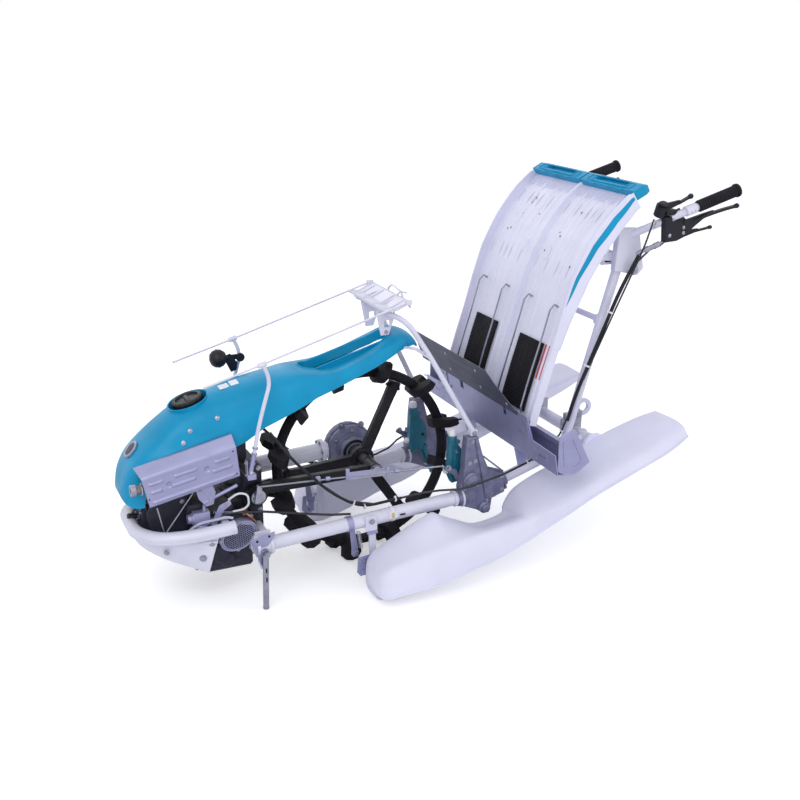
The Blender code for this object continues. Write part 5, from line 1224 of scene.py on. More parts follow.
def build_drive_fittings():
    pivot_x, pivot_z = 0.39, 0.31
    seam = [ring_band(on_axle(y), LEFT, 0.07, 0.0815, 0.0045, 64)
            for y in (-0.1255, -0.1175)]
    hub = [ring_band(on_axle(-0.0905), LEFT, 0.04, 0.054, 0.01, 40),
           ring_band(on_axle(-0.0595), LEFT, 0.03, 0.042, 0.0085, 36)]
    ribs = []
    for k in range(8):
        out = outward(45.0 * k + 22.5)
        ribs.append(strip([on_axle(-0.09) + out * 0.036, on_axle(-0.0945) + out * 0.07], 0.005, 0.008, LEFT))
    piece("gearcase_rings",
          [("grey_casting", seam + ribs), ("black_steel", [hub[1]]), ("grey_casting", [hub[0]])])
    points = round_points(on_axle(-0.113), LEFT, 0.0755, 8, 0.0048, 0.2)
    points += round_points(on_axle(-0.0905), LEFT, 0.062, 6, 0.0052, 0.5)
    points += round_points(on_axle(-0.151), RIGHT, 0.064, 6, 0.0052, 0.5)
    points += side_spots(-0.0995, 0.0052, ((0.03, 0.412), (-0.042, 0.406)))
    points += round_points(at(0.1025, -0.12125, 0.325), (1.0, 0.0, -0.04), 0.0345, 6, 0.0046, 0.26)
    points += round_points(at(pivot_x, -0.0922, pivot_z), LEFT, 0.048, 6, 0.005, 0.3)
    points += round_points(at(pivot_x, -0.1503, pivot_z), RIGHT, 0.046, 6, 0.005, 0.3)
    fit("drive_bolts", "hex_bolts", points)
    arm_edges = [strip([at(0.352, 0.1115, 0.3282 + z), at(0.03, 0.1115, 0.33 + z)], 0.0022, 0.003, UP)
                 for z in (-0.0145, 0.0145)]
    nuts = [turned(((0.0, 0.0155), (0.011, 0.0155), (0.013, 0.0125)), on_axle(0.116), LEFT, 6),
            turned(((0.0, 0.008), (0.019, 0.008), (0.021, 0.006)), on_axle(0.116), LEFT, 18),
            turned(((0.0, 0.019), (0.002, 0.019)), on_axle(0.1145), LEFT, 24),
            turned(((0.0, 0.023), (0.003, 0.023), (0.004, 0.015), (0.012, 0.014)),
                   at(pivot_x, 0.1215, pivot_z), LEFT, 24),
            rod(at(0.01, 0.13, AXLE.z), at(-0.012, 0.13, AXLE.z + 0.004), 0.0016, 8)]
    piece("axle_end", [("black_steel", arm_edges), ("steel", nuts)])
    link = [
        block((0.105, 0.117), (0.149, 0.157), (0.334, 0.366), 0.001),
        block((-0.028, -0.018), (0.152, 0.162), (0.322, 0.352), 0.001),
        plate(((0.112, 0.356), (-0.02, 0.35), (-0.02, 0.334), (0.112, 0.34)), (0.1555, 0.1575), 0.0006),
        turned(((0.0, 0.0065), (0.014, 0.0065)), at(0.168, 0.1505, 0.344), (0.98, -0.03, 0.02), 6),
        turned(((0.0, 0.0065), (0.014, 0.0065)), at(-0.06, 0.161, 0.334), (0.98, -0.03, 0.02), 6),
        block((0.2, 0.214), (0.144, 0.154), (0.338, 0.356), 0.001),
    ]
    piece("shift_rod_clips", [("silver_sheet", link)])


SPOKE_DEGREES = (116.0, -124.0, -4.0)
LUG_DEGREES = [-75.0 + 30.0 * k for k in range(12)]


def build_wheel_fittings():
    axle = on_axle(0.0)
    ridges = []
    for degrees in SPOKE_DEGREES:
        out, across = outward(degrees), outward(degrees + 90.0)
        for side, edge in ((-1.0, -1.0), (-1.0, 1.0), (1.0, -1.0), (1.0, 1.0)):
            start = on_axle(side * 0.0095) + out * 0.045 + across * edge * 0.0135
            end = on_axle(side * 0.0075) + out * 0.268 + across * edge * 0.015
            ridges.append(strip([start, end], 0.003, 0.003, LEFT))
    piece("spoke_ridges", [("black_steel", ridges)], "wheel")
    lines = []
    for y, r in ((0.0, 0.3058), (0.0105, 0.302), (-0.0105, 0.302)):
        lines.append(tube([on_axle(y) + outward(3.75 * i) * r for i in range(96)], 0.0011, 5, LEFT, True))
    spokes = [outward(degrees) for degrees in SPOKE_DEGREES]
    lugs = [outward(degrees) for degrees in LUG_DEGREES]
    lines += [turned(((-0.01, 0.026), (0.006, 0.019)), axle + out * 0.262, out, 18) for out in spokes]
    lines += [turned(((-0.006, 0.026), (0.012, 0.02)), axle + out * 0.292, out, 16) for out in lugs]
    piece("rim_mould_lines", [("black_rubber", lines)], "wheel", 50.0)
    spots = round_points(on_axle(0.008), LEFT, 0.0325, 6, 0.0042)
    spots += round_points(on_axle(-0.012), RIGHT, 0.026, 6, 0.0036)
    spots += [(on_axle(0.0125) + out * 0.277, LEFT, 0.004) for out in lugs]
    fit("wheel_bolts", "hex_bolts", spots, "black_steel", "wheel")


# ---------------------------------------------------------------- tray and guide
def along_line(fraction):
    """The place and forward normal at a fraction of the tray's floor line."""
    points = [at(x, 0.0, z) for x, z in TRAY_LINE]
    spans = [(b - a).length for a, b in zip(points, points[1:])]
    target = fraction * sum(spans)
    for a, b, span in zip(points, points[1:], spans):
        if target <= span + 1e-9:
            break
        target -= span
    along = (b - a).normalized()
    return a + along * target, Vector((along.z, 0.0, -along.x))


def on_tray(fraction, y, height):
    """A place on the tray at a fraction up its floor line, and the floor's normal there."""
    before = along_line(max(0.0, fraction - 0.03))[1]
    after = along_line(min(1.0, fraction + 0.03))[1]
    normal = (before + after).normalized()
    return along_line(fraction)[0] + normal * height + Vector((0.0, y, 0.0)), normal


def flute(y, start, end, width, height, steps=22):
    """One low rounded rib up the tray's floor."""
    rings = []
    for i in range(steps + 1):
        f = start + (end - start) * i / steps
        grow = min(1.0, 4.0 * min(i, steps - i) / steps + 0.1)
        rings.append([on_tray(f, y + a * width / 2 * grow, h * height * grow - 0.0002)[0]
                      for a, h in ((-1.0, 0.0), (1.0, 0.0), (0.65, 0.75), (0.0, 1.0), (-0.65, 0.75))])
    return skin(rings)


# Side skirt of the tray: fraction up the floor line, and how far it hangs behind the floor.
SKIRT_DROP = ((0.3, 0.004), (0.39, 0.011), (0.46, 0.019), (0.54, 0.028), (0.625, 0.033), (0.74, 0.039),
              (0.83, 0.04), (0.89, 0.036), (0.934, 0.031))
# Stripe on the left skirt: fraction, height of its lower edge and of its upper edge.
STRIPE = ((0.452, 0.0212, 0.022), (0.48, 0.016, 0.0215), (0.516, 0.0105, 0.0205), (0.56, 0.0052, 0.0185),
          (0.62, -0.0015, 0.016), (0.671, -0.006, 0.0142), (0.722, -0.01, 0.0122), (0.769, -0.0135, 0.01),
          (0.818, -0.015, 0.008), (0.873, -0.011, 0.008), (0.905, -0.0065, 0.009), (0.928, -0.001, 0.01))


def side_band(rows, near, far):
    """A thin upright band on the tray's side from (fraction, low, high) rows."""
    rings = []
    for f, low, high in through(rows, 4):
        rings.append([on_tray(f, y, h)[0] for y, h in ((near, low), (far, low), (far, high), (near, high))])
    return skin(rings)


def floor_band(y, half, start, end, steps=10):
    """A thin flat strip up the tray's floor."""
    rings = []
    for i in range(steps + 1):
        f = start + (end - start) * (i / steps)
        rings.append([on_tray(f, y + a * half, h)[0]
                      for a, h in ((-1, 0.0002), (1, 0.0002), (1, 0.0011), (-1, 0.0011))])
    return skin(rings)


def build_tray_trim():
    build_flutes()
    build_tray_marks()
    build_cap_trim()


def build_flutes():
    """Flutes of the floor, side skirts and the teeth along the top edge."""
    values = sizes()
    flutes = []
    for side in (-1, 1):
        for i in range(values.flutes):
            y = side * (0.022 + (TRAY_HALF - 0.046) * i / (values.flutes - 1))
            if min(abs(abs(y) - c) for c in (TRAY_HALF - 0.057, TRAY_HALF - 0.107, 0.11, 0.06)) < 0.0085:
                continue
            flutes.append(flute(y, 0.34 if i % 2 else 0.31, 0.925, 0.0085, values.flute_height))
        for rows, near, far in (
            ([(f, -drop, 0.0218) for f, drop in SKIRT_DROP], -0.0025, 0.0007),
            ([(f, -drop - 0.002, -drop + 0.0015) for f, drop in SKIRT_DROP], -0.0045, 0.0022),
            ([(f, 0.0205, 0.024) for f in (0.02, 0.15, 0.3, 0.45, 0.6, 0.75, 0.92)], -0.0052, 0.0015),
        ):
            flutes.append(side_band(rows, side * (TRAY_HALF + near), side * (TRAY_HALF + far)))
    teeth = []
    for i in range(56):
        y = -TRAY_HALF + 0.01 + (2 * TRAY_HALF - 0.02) * i / 55
        rings = []
        for f, h in ((0.88, 0.0006), (0.905, 0.005), (0.934, 0.0068)):
            rings.append([on_tray(f, y + a * 0.0014, g)[0]
                          for a, g in ((-1, -0.0003), (1, -0.0003), (1, h), (-1, h))])
        teeth.append(skin(rings))
    piece("tray_flutes", [("white_plastic", flutes + teeth)], "tray", 45.0)


def build_tray_marks():
    """Stripe, drain holes painted as dark discs of shade, and label."""
    stripe = side_band(STRIPE, TRAY_HALF + 0.0004, TRAY_HALF + 0.0012)
    piece("tray_stripe", [("teal_plastic", [stripe])], "tray", 45.0)
    holes = []
    for y, f in ((-0.176, 0.8), (-0.166, 0.822), (-0.182, 0.745), (-0.178, 0.73), (-0.222, 0.665),
                 (-0.205, 0.672), (0.108, 0.792), (0.12, 0.812), (0.08, 0.712), (0.092, 0.698),
                 (0.062, 0.615), (0.046, 0.628), (0.002, 0.52), (-0.012, 0.505), (0.215, 0.6), (-0.09, 0.76),
                 (0.186, 0.76), (0.18, 0.742)):
        holes.append((*on_tray(f, y, 0.0005), 0.003))
    fit("tray_drain_holes", "hole_shade_discs", holes, "hollow", "tray")
    label = floor_band(0.237, 0.0125, 0.165, 0.3)
    tab = floor_band(0.237, 0.0022, 0.18, 0.285)
    for vert in tab.verts:
        vert.co += Vector((0.0006, 0.0, 0.0002))
    piece("tray_label", [("red_label", [label]), ("bare_label", [tab])], "tray")


def build_cap_trim():
    """Ridges, clips and rivets of the caps, and the ends of the mat rods."""
    lines, clips = [], []
    for side in (-1, 1):
        middle = side * (TRAY_HALF + 0.003) / 2
        for reach, level in ((0.118, 0.029), (0.094, 0.0305)):
            row = [on_tray(f, middle + a * reach, level)[0]
                   for a, f in ((-1, 0.944), (1, 0.944), (1, 0.972), (-1, 0.972))]
            lines.append(tube(bent(row + row[:1], 0.006), 0.0013, 6))
        for k in (-1, 0, 1):
            place, normal = on_tray(0.9385, middle + k * 0.075, 0.024)
            clips.append(plaque(place, normal, LEFT, 0.026, 0.011, 0.0035))
    piece("cap_ridges", [("teal_plastic", lines + clips)], "tray")
    fit("cap_rivets", "rivets", [(*on_tray(0.955, side * 0.15 + k * 0.075, 0.0135), 0.004)
                                 for side in (-1, 1) for k in (-1, 0, 1)], "teal_plastic", "tray")
    hooks = []
    for y in (TRAY_HALF - 0.065, 0.075, -0.075, 0.065 - TRAY_HALF):
        top = on_tray(0.43, y, 0.028)[0]
        hooks.append(turned(((-0.004, 0.0045), (0.004, 0.0045)), on_tray(0.012, y, 0.0195)[0], LEFT, 14))
        hooks.append(rod(top + Vector((-0.016, 0.0, 0.016)), on_tray(0.4475, y, 0.002)[0], 0.003, 8))
    piece("mat_rod_ends", [("steel", hooks)], "tray")


def build_belt_bars():
    count = sizes().belt_bars
    for side, name in ((1, "left"), (-1, "right")):
        middle = side * TRAY_HALF / 2
        line = [on_tray(0.036 + 0.258 * i / 24, middle, 0.009)[0] for i in range(25)]
        bars("belt_bars_" + name, line, count, (0.0045, 0.14, 0.003), "black_rubber", "tray")
        points = [(*on_tray(0.03 + 0.262 * (i + 0.5) / count, middle + k * 0.028, 0.0086), 0.0042)
                  for i in range(count) for k in (-2, -1, 0, 1, 2)]
        fit("belt_studs_" + name, "rivets", points, "black_rubber", "tray")


def build_guide_fittings():
    # The guide's face leans back by this much of its height.
    slope, lean = 0.178, (0.98, 0.0, -0.18)
    bolts, slots, rivets = [], [], []
    for side in (-1, 1):
        for y, z in ((0.27, 0.478), (0.29, 0.478), (0.27, 0.436), (0.29, 0.436), (0.2425, 0.439)):
            x = -0.4435 + (z - 0.47) * slope
            bolts.append((at(x + 0.001, side * y, z), lean, 0.0046))
        for y, z in ((0.33, 0.405), (0.4, 0.405), (0.33, 0.372), (0.42, 0.372)):
            x = -0.438 - (0.5 - z) * slope
            rivets.append((at(x + 0.0002, side * y, z), lean, 0.0038))
        # Painted shade of the guide's slots: dark discs on its face.
        for y in (0.352, 0.366, 0.38):
            slots.append((at(-0.438 - (0.5 - 0.392) * slope, side * y, 0.392), lean, 0.003))
        rivets += side_spots(side * (GUIDE_HALF - 0.0002), 0.005, ((-0.5, 0.47), (-0.548, 0.392)),
                             (0.0, side, 0.0))
    fit("guide_bolts", "hex_bolts", bolts)
    fit("guide_rivets", "rivets", rivets, "silver_sheet")
    fit("guide_holes", "hole_shade_discs", slots, "hollow")
    folds = []
    for side in (-1, 1):
        folds.append(strip([at(-0.4405 - (0.486 - z) * slope + 0.003, side * 0.3, z) for z in (0.486, 0.418)],
                           0.006, 0.002, LEFT))
        folds.append(strip([at(-0.4372, side * y, 0.4885) for y in (0.258, 0.302)], 0.005, 0.003, AHEAD))
        end = [at(x, side * (GUIDE_HALF - 0.002), z)
               for x, z in ((-0.468, 0.482), (-0.518, 0.5), (-0.577, 0.384), (-0.524, 0.3505), (-0.5, 0.353),
                            (-0.466, 0.3705))]
        folds.append(tube(bent(end + end[:1], 0.006), 0.0028, 8, LEFT))
        inner = [at(x, side * (GUIDE_HALF + 0.0004), z)
                 for x, z in ((-0.48, 0.462), (-0.512, 0.474), (-0.552, 0.39), (-0.522, 0.372),
                              (-0.488, 0.384))]
        folds.append(tube(bent(inner + inner[:1], 0.008), 0.002, 8, LEFT))
    folds.append(tube([at(-0.4375, -GUIDE_HALF + 0.01, 0.4275), at(-0.4375, -0.318, 0.4325)], 0.0022, 8))
    piece("guide_folds", [("silver_sheet", folds)])
    spots = [(at(-0.4358 + (z - 0.491) * 0.38, y, z), (0.93, 0.0, -0.36), 0.0048)
             for y, z in ((-0.42, 0.52), (-0.42, 0.58), (-0.2, 0.58), (0.02, 0.58), (-0.2, 0.52),
                          (0.02, 0.52), (0.19, 0.515))]
    fit("shield_screws", "round_screws", spots)


# ---------------------------------------------------------------- planting gear
def build_planter_fittings():
    build_planter_covers()
    build_arm_trim()


def build_planter_covers():
    """Covers, collars and bolts of the planter cases."""
    bolts, covers, whites, steel = [], [], [], []
    for side in (-1, 1):
        out = (0.0, side, 0.0)
        boss = Vector((CRANK.x, side * (CRANK.y + 0.0694), CRANK.z))
        covers.append(turned(((0.0, 0.025), (0.0035, 0.025), (0.005, 0.0215)), boss, out, 32))
        bolts += round_points(boss + Vector((0.0, side * 0.0035, 0.0)), out, 0.0175, 3, 0.0042, 0.4)
        whites.append(ring_band(at(-0.262, side * TRACK_Y, 0.2256), TUBE_RUN, 0.0223, 0.0325, 0.0065, 36))
        whites.append(ring_band(at(-0.24, side * TRACK_Y, 0.2245), TUBE_RUN, 0.0221, 0.0262, 0.01, 36))
        back = at(-0.412, side * (TRACK_Y - 0.0198), 0.25)
        axis = Vector((-1.0, 0.0, 0.27)).normalized()
        covers.append(ring_band(back, axis, 0.0185, 0.035, 0.0065, 36))
        bolts += round_points(back + axis * 0.0065, axis, 0.029, 4, 0.005, 0.8)
        bolts += round_points(back, -axis, 0.029, 4, 0.0046, 0.8)
        low = at(-0.336, side * (TRACK_Y + 0.029), 0.183)
        covers.append(turned(((0.0, 0.015), (0.006, 0.015), (0.009, 0.011)), low, out, 6))
        bolts += side_spots(side * (TRACK_Y + 0.0183), 0.0052, (
            (-0.29, 0.418), (-0.3, 0.35), (-0.28, 0.345), (-0.398, 0.28), (-0.398, 0.236), (-0.266, 0.262),
            (-0.345, 0.205), (-0.268, 0.222)), out)
        pin = [at(-0.222, side * (TRACK_Y + y), 0.3265) for y in (-0.024, -0.006)]
        steel.append(rod(*pin, 0.0045, 10))
        steel.append(ring_band(at(-0.222, side * (TRACK_Y - 0.015), 0.3265), out, 0.005, 0.009, 0.0018, 20))
        for rib in (((-0.262, 0.318), (-0.258, 0.27)), ((-0.33, 0.36), (-0.402, 0.298)),
                    ((-0.356, 0.206), (-0.322, 0.176))):
            covers.append(strip([at(x, side * (TRACK_Y + 0.017), z) for x, z in rib], 0.0055, 0.009, LEFT))
    piece("planter_covers", [("grey_casting", covers), ("white_paint", whites), ("steel", steel)],
          smooth=36.0)
    fit("planter_bolts", "hex_bolts", bolts)


def build_arm_trim():
    """Trim and bolts that ride on the planting arms, and the bolts of their cranks."""
    for side, name in ((1, "left"), (-1, "right")):
        y = side * ARM_Y
        out = (0.0, side, 0.0)
        face = y + side * 0.0155
        parts_teal = [turned(((0.0, 0.0135), (0.006, 0.0135), (0.009, 0.01)), at(-0.268, y, 0.392), UP, 20),
                      plate(((-0.255, 0.376), (-0.268, 0.376), (-0.29, 0.338), (-0.292, 0.306),
                             (-0.278, 0.278), (-0.26, 0.276), (-0.255, 0.296)),
                            (face - side * 0.0005, face + side * 0.0025), 0.001)]
        parts_white = [turned(((0.0, 0.0125), (0.012, 0.0135), (0.018, 0.0115), (0.021, 0.006)),
                              at(-0.254, y, 0.4195), UP, 24),
                       turned(((0.0, 0.01), (0.008, 0.01), (0.012, 0.007)), at(-0.236, y, 0.3),
                              (1.0, 0.0, 0.1), 20)]
        parts_steel = [turned(((0.0, 0.0075), (0.01, 0.006), (0.014, 0.006)), at(-0.283, y, 0.275),
                              (-0.27, 0.0, -0.96), 16),
                       block((-0.309, -0.297), (y - 0.0065, y + 0.0065), (0.2, 0.208), 0.001),
                       rod(at(-0.331, y - 0.0115, 0.186), at(-0.32, y + 0.0115, 0.186), 0.002, 8)]
        piece("planting_arm_trim_" + name,
              [("teal_paint", parts_teal), ("white_nylon", parts_white), ("steel", parts_steel)],
              "arm_" + name, 36.0)
        spots = side_spots(face + side * 0.0025, 0.004, (
            (-0.263, 0.366), (-0.283, 0.335), (-0.264, 0.29), (-0.28, 0.296)), out)
        spots.append((at(-0.291, side * (ARM_Y + 0.0116), 0.2685), out, 0.0042))
        fit("planting_arm_bolts_" + name, "hex_bolts", spots, body="arm_" + name)
        end = Vector((CRANK.x, side * (CRANK.y + 0.0072), CRANK.z + 0.035))
        fit("crank_bolts_" + name, "hex_bolts", [(end, out, 0.0052)], body="crank_" + name)


# ---------------------------------------------------------------- floats, frame, handle
def float_ring(row):
    """One section of a float: rounded over its back, with a thin lip all along its outer rim."""
    x, inner, outer, low, lip, rim, ridge, top = row
    back = [(outer - 0.005, rim + 0.0006), (outer - 0.026, ridge),
            (inner + (outer - inner) * 0.62, ridge * 0.7 + top * 0.3 + 0.006),
            (inner + (outer - inner) * 0.25, top), (inner + 0.006, top - (top - low) * 0.12),
            (inner, low + (top - low) * 0.3), (inner + 0.018, low), (outer - (outer - inner) * 0.42, low)]
    edge = [
        (outer - 0.01, lip - 0.001), (outer + 0.0035, lip - 0.001), (outer + 0.006, lip + 0.001),
        (outer + 0.006, lip + 0.0036), (outer + 0.0035, lip + 0.0052), (outer - 0.0015, lip + 0.0058),
    ]
    return [at(x, y, max(z, 0.0004)) for y, z in through(back, 4) + edge]


def build_floats():
    rings = [float_ring(row) for row in through(FLOAT, 5)]
    for ring, shift, shrink in ((rings[0], 0.0035, 0.8), (rings[-1], -0.004, 0.84)):
        middle = sum(ring, Vector()) / len(ring)
        end = [middle + (p - middle) * shrink + Vector((shift, 0.0, 0.0)) for p in ring]
        rings = [end] + rings if shift > 0 else rings + [end]
    ear = plate(((-0.775, 0.33), (-0.775, 0.364), (-0.766, 0.372), (-0.73, 0.372), (-0.716, 0.356),
                 (-0.7, 0.32)), (TRACK_Y + 0.0095, TRACK_Y + 0.0245), 0.0015)
    nose = block((0.044, 0.08), (STAND_Y - 0.0085, STAND_Y + 0.02), (0.042, 0.086), 0.003)
    shapes = [skin(rings), ear, nose]
    twins = [mirrored(shape) for shape in shapes]
    for side, made in (("left", shapes), ("right", twins)):
        piece("float_shell_" + side, [("white_plastic", made)], smooth=42.0, stands_for=("float_" + side,))
    # Painted shade of each float's drain hole: a dark disc.
    fit("float_drains", "hole_shade_discs", flip([(at(-0.85, 0.33, 0.3765), (-0.35, 0.0, 0.94), 0.006)]),
        "hollow")


def build_float_trim():
    build_floats()
    inner = TRACK_Y + 0.0283
    straps = [
        plate(((0.046, 0.118), (0.12, 0.11), (0.124, 0.06), (0.112, 0.044), (0.078, 0.05), (0.044, 0.09)),
              (STAND_Y + 0.005, STAND_Y + 0.0075), 0.0006),
        block((0.086, 0.11), (STAND_Y + 0.004, STAND_Y + 0.012), (0.048, 0.066), 0.001),
        block((0.048, 0.082), (inner + 0.0005, inner + 0.009), (0.174, 0.182), 0.001),
    ]
    steel = [
        rod(at(0.098, 0.236, 0.056), at(0.098, 0.262, 0.056), 0.0042, 10),
        rod(at(0.062, 0.236, 0.062), at(0.062, 0.258, 0.062), 0.005, 10),
        coil(at(0.103, TRACK_Y + 0.01, 0.18), at(0.094, TRACK_Y + 0.01, 0.12), 0.006, 10, 0.0011),
    ]
    hanger = [
        plate(((0.128, 0.19), (0.112, 0.192), (0.1, 0.12), (0.104, 0.092), (0.118, 0.092), (0.122, 0.12)),
              (TRACK_Y - 0.0012, TRACK_Y + 0.0012), 0.0006),
        block((0.102, 0.12), (TRACK_Y - 0.008, TRACK_Y + 0.01), (0.094, 0.112), 0.001),
        ring_band(at(0.12, TRACK_Y, 0.2063), TUBE_RUN, 0.0222, 0.0245, 0.018, 30),
    ]
    piece("float_nose_brackets", [("silver_sheet", both(straps + hanger)), ("steel", both(steel))])
    bolts = [(at(0.1, STAND_Y + 0.008, 0.096), LEFT, 0.0048),
             (at(0.06, STAND_Y + 0.008, 0.084), LEFT, 0.0048),
             (at(0.065, inner + 0.004, 0.214), LEFT, 0.0062),
             (at(0.11, TRACK_Y + 0.0105, 0.103), LEFT, 0.0044),
             (at(-0.745, TRACK_Y + 0.0248, 0.345), LEFT, 0.007)]
    fit("float_bolts", "hex_bolts", flip(bolts))


def build_frame_fittings():
    end = at(-0.749, TRACK_Y - 0.013, 0.342)
    rings = [ring_band(end - Vector((0.0, 0.002, 0.0)), LEFT, 0.0145, 0.0222, 0.003, 36)]
    # Painted shade: a dark disc in each tube end stands for the shade of its bore.
    bore_shades = [turned(((-0.001, 0.015), (0.0008, 0.015)), end, LEFT, 28)]
    fittings = [block((-0.716, -0.694), (0.112, 0.128), (0.395, 0.42), 0.002),
                block((-0.759, -0.741), (0.108, 0.132), (0.4, 0.424), 0.002),
                rod(at(-0.728, 0.1, 0.355), at(-0.728, 0.14, 0.412), 0.0055, 12),
                block((-0.77, -0.69), (0.104, 0.112), (0.352, 0.396), 0.002)]
    slots = [block((-0.792, -0.752), (side * 0.196 - 0.009, side * 0.196 + 0.009), (0.94, 0.984), 0.002)
             for side in (1, -1)]
    # Painted shade: thin dark blocks in the handle slots stand for the shade inside them.
    dark = [block((-0.7825, -0.7615), (side * 0.2035, side * 0.206), (0.948, 0.976), 0.001)
            for side in (1, -1)]
    dark += [block((-0.753, -0.75), (side * 0.19, side * 0.202), (0.95, 0.974), 0.0008) for side in (1, -1)]
    piece("rear_frame_fittings",
          [("white_paint", both(rings) + slots), ("hollow", both(bore_shades) + dark), ("steel", both(fittings))])
    beads = []
    for place, axis, r in (
        (at(-0.655, 0.1775, 0.325), (0.2, 0.1, 1.0), 0.0178), (at(-0.7, 0.185, 0.968), LEFT, 0.0118),
        (at(-0.7585, 0.184, 0.76), LEFT, 0.0125), (at(-0.749, 0.15, 0.342), LEFT, 0.0228),
        (at(-0.412, TRACK_Y - 0.02, 0.25), (-1.0, -0.04, 0.27), 0.0215),
    ):
        axis = Vector(axis).normalized()
        helper = axis.cross(Vector((0.3, 0.2, 0.9))).normalized()
        top = axis.cross(helper)
        path = [place + (helper * math.cos(math.tau * i / 40) + top * math.sin(math.tau * i / 40))
                * (r + 0.0004 * math.sin(i * 2.4)) for i in range(40)]
        beads.append(tube(path, 0.0024, 6, axis, True))
    piece("weld_beads", [("white_paint", both(beads))], smooth=60.0)
    bolts = [(at(-0.842, 0.25, 0.925), LEFT, 0.0115), (at(-0.72, 0.254, 0.985), LEFT, 0.0048),
             (at(-0.7585, 0.2057, 0.76), LEFT, 0.0068)]
    fit("handle_bolts", "hex_bolts", flip(bolts))
    tag = [
        ring_band(at(-0.02, TRACK_Y, 0.2134), TUBE_RUN, 0.0221, 0.0232, 0.011, 40),
        plaque(at(-0.012, TRACK_Y + 0.0232, 0.219), LEFT, (1.0, 0.0, -0.05), 0.03, 0.024, 0.0012),
    ]
    mark = [plaque(at(-0.01, TRACK_Y + 0.0244, 0.218), LEFT, (1.0, 0.0, -0.05), 0.01, 0.018, 0.0006)]
    clip = [block((-0.052, -0.034), (TRACK_Y + 0.0225, TRACK_Y + 0.0255), (0.213, 0.218), 0.0008)]
    piece("tube_tag", [("white_nylon", tag), ("yellow_label", mark), ("black_plastic", clip)])
    bands = [ring_band(at(x, TRACK_Y, z), TUBE_BACK, 0.0305, 0.033, wide, 40)
             for x, z, wide in ((0.4325, 0.1902, 0.01), (0.39, 0.1923, 0.008))]
    piece("tube_clamps", [("white_paint", both(bands))])


def build_handle_trim():
    build_grip_rings()
    build_controls()


def build_grip_rings():
    for side, name in ((1, "left"), (-1, "right")):
        start, end = at(-1.01, side * 0.328, 1.12678), at(-1.165, side * 0.328, 1.16995)
        along = (end - start).normalized()
        count = sizes().grip_ribs
        points = [(start.lerp(end, 0.05 + 0.82 * i / (count - 1)), along, 0.0177) for i in range(count)]
        fit("grip_rings_" + name, "grip_rings", points, "black_rubber")


def build_controls():
    """Collars, cable adjusters, knobs and lever webs."""
    first, last = at(-0.966, 0.328, 1.1146), at(-1.004, 0.328, 1.1251)
    collar = turned(((0.0, 0.015), (0.0015, 0.0163), (0.0375, 0.0163), (0.039, 0.015)), first, last - first,
                    32)
    start = at(-0.8325, 0.27, 0.9816)
    toward = at(-0.9219, 0.295, 1.0201) - start
    steps = ((0.0, 0.3, 0.0066), (0.3, 0.44, 0.0092), (0.44, 0.62, 0.007), (0.62, 0.8, 0.0088),
             (0.8, 1.0, 0.0052))
    profile = [(toward.length * t, r) for low, high, r in steps for t in (low, high)]
    barrel = turned([(0.0, 0.0048), (0.006, 0.0048), (0.006, 0.0066)] + profile[1:], start, toward, 20)
    ferrule = turned(((0.0, 0.0045), (0.01, 0.0045), (0.01, 0.0062), (0.018, 0.0062)),
                     at(-0.873, 0.292, 1.067), (-0.14, 0.0, 0.4), 14)
    # The long lever's tip and its web are on both handles.
    paired = [turned(((0.0, 0.0065), (0.01, 0.0085), (0.016, 0.005)), at(-1.16, 0.3256, 1.118),
                     (-1.0, 0.07, 0.18), 14),
              plate(((-0.975, 1.084), (-1.045, 1.1), (-1.09, 1.109), (-1.09, 1.099), (-1.05, 1.084),
                     (-1.02, 1.064), (-0.985, 1.04)), (0.305, 0.3155), 0.0015)]
    single = [turned(((0.0, 0.0155), (0.006, 0.0165), (0.01, 0.012)), at(-0.901, 0.3005, 1.1345),
                     (0.0, 0.4, 1.0), 24),
              block((-0.945, -0.905), (0.282, 0.316), (1.104, 1.122), 0.004),
              turned(((0.0, 0.006), (0.008, 0.0065), (0.012, 0.004)), at(-1.076, 0.31, 1.054),
                     (-1.0, 0.1, 0.15), 12),
              turned(((0.0, 0.007), (0.008, 0.009), (0.014, 0.006)), at(-0.988, 0.312, 1.156),
                     (-0.9, 0.0, 0.4), 14),
              plate(((-0.985, 1.046), (-0.985, 1.052), (-1.04, 1.053), (-1.04, 1.045), (-0.985, 1.03)),
                    (0.2985, 0.3085), 0.001),
              plate(((-0.905, 1.142), (-0.958, 1.149), (-0.958, 1.138), (-0.905, 1.118)), (0.3015, 0.3135),
                    0.001)]
    piece("handle_fittings", [("white_paint", both([collar])), ("steel", both([barrel, ferrule])),
                              ("black_plastic", both(paired) + single)], smooth=36.0)
    # Painted shade of two small holes in each collar: dark discs.
    dots = [(first.lerp(last, t) + Vector((0.0, 0.0158, -0.004)), (0.1, 0.95, -0.25), 0.002)
            for t in (0.35, 0.7)]
    fit("collar_holes", "hole_shade_discs", flip(dots), "hollow")
    pins = side_spots(0.3122, 0.005, ((-0.978, 1.062), (-0.978, 1.045), (-0.925, 1.04)))
    pins.append((at(-0.935, 0.3128, 1.09), LEFT, 0.0045))
    fit("control_screws", "round_screws", flip(pins))


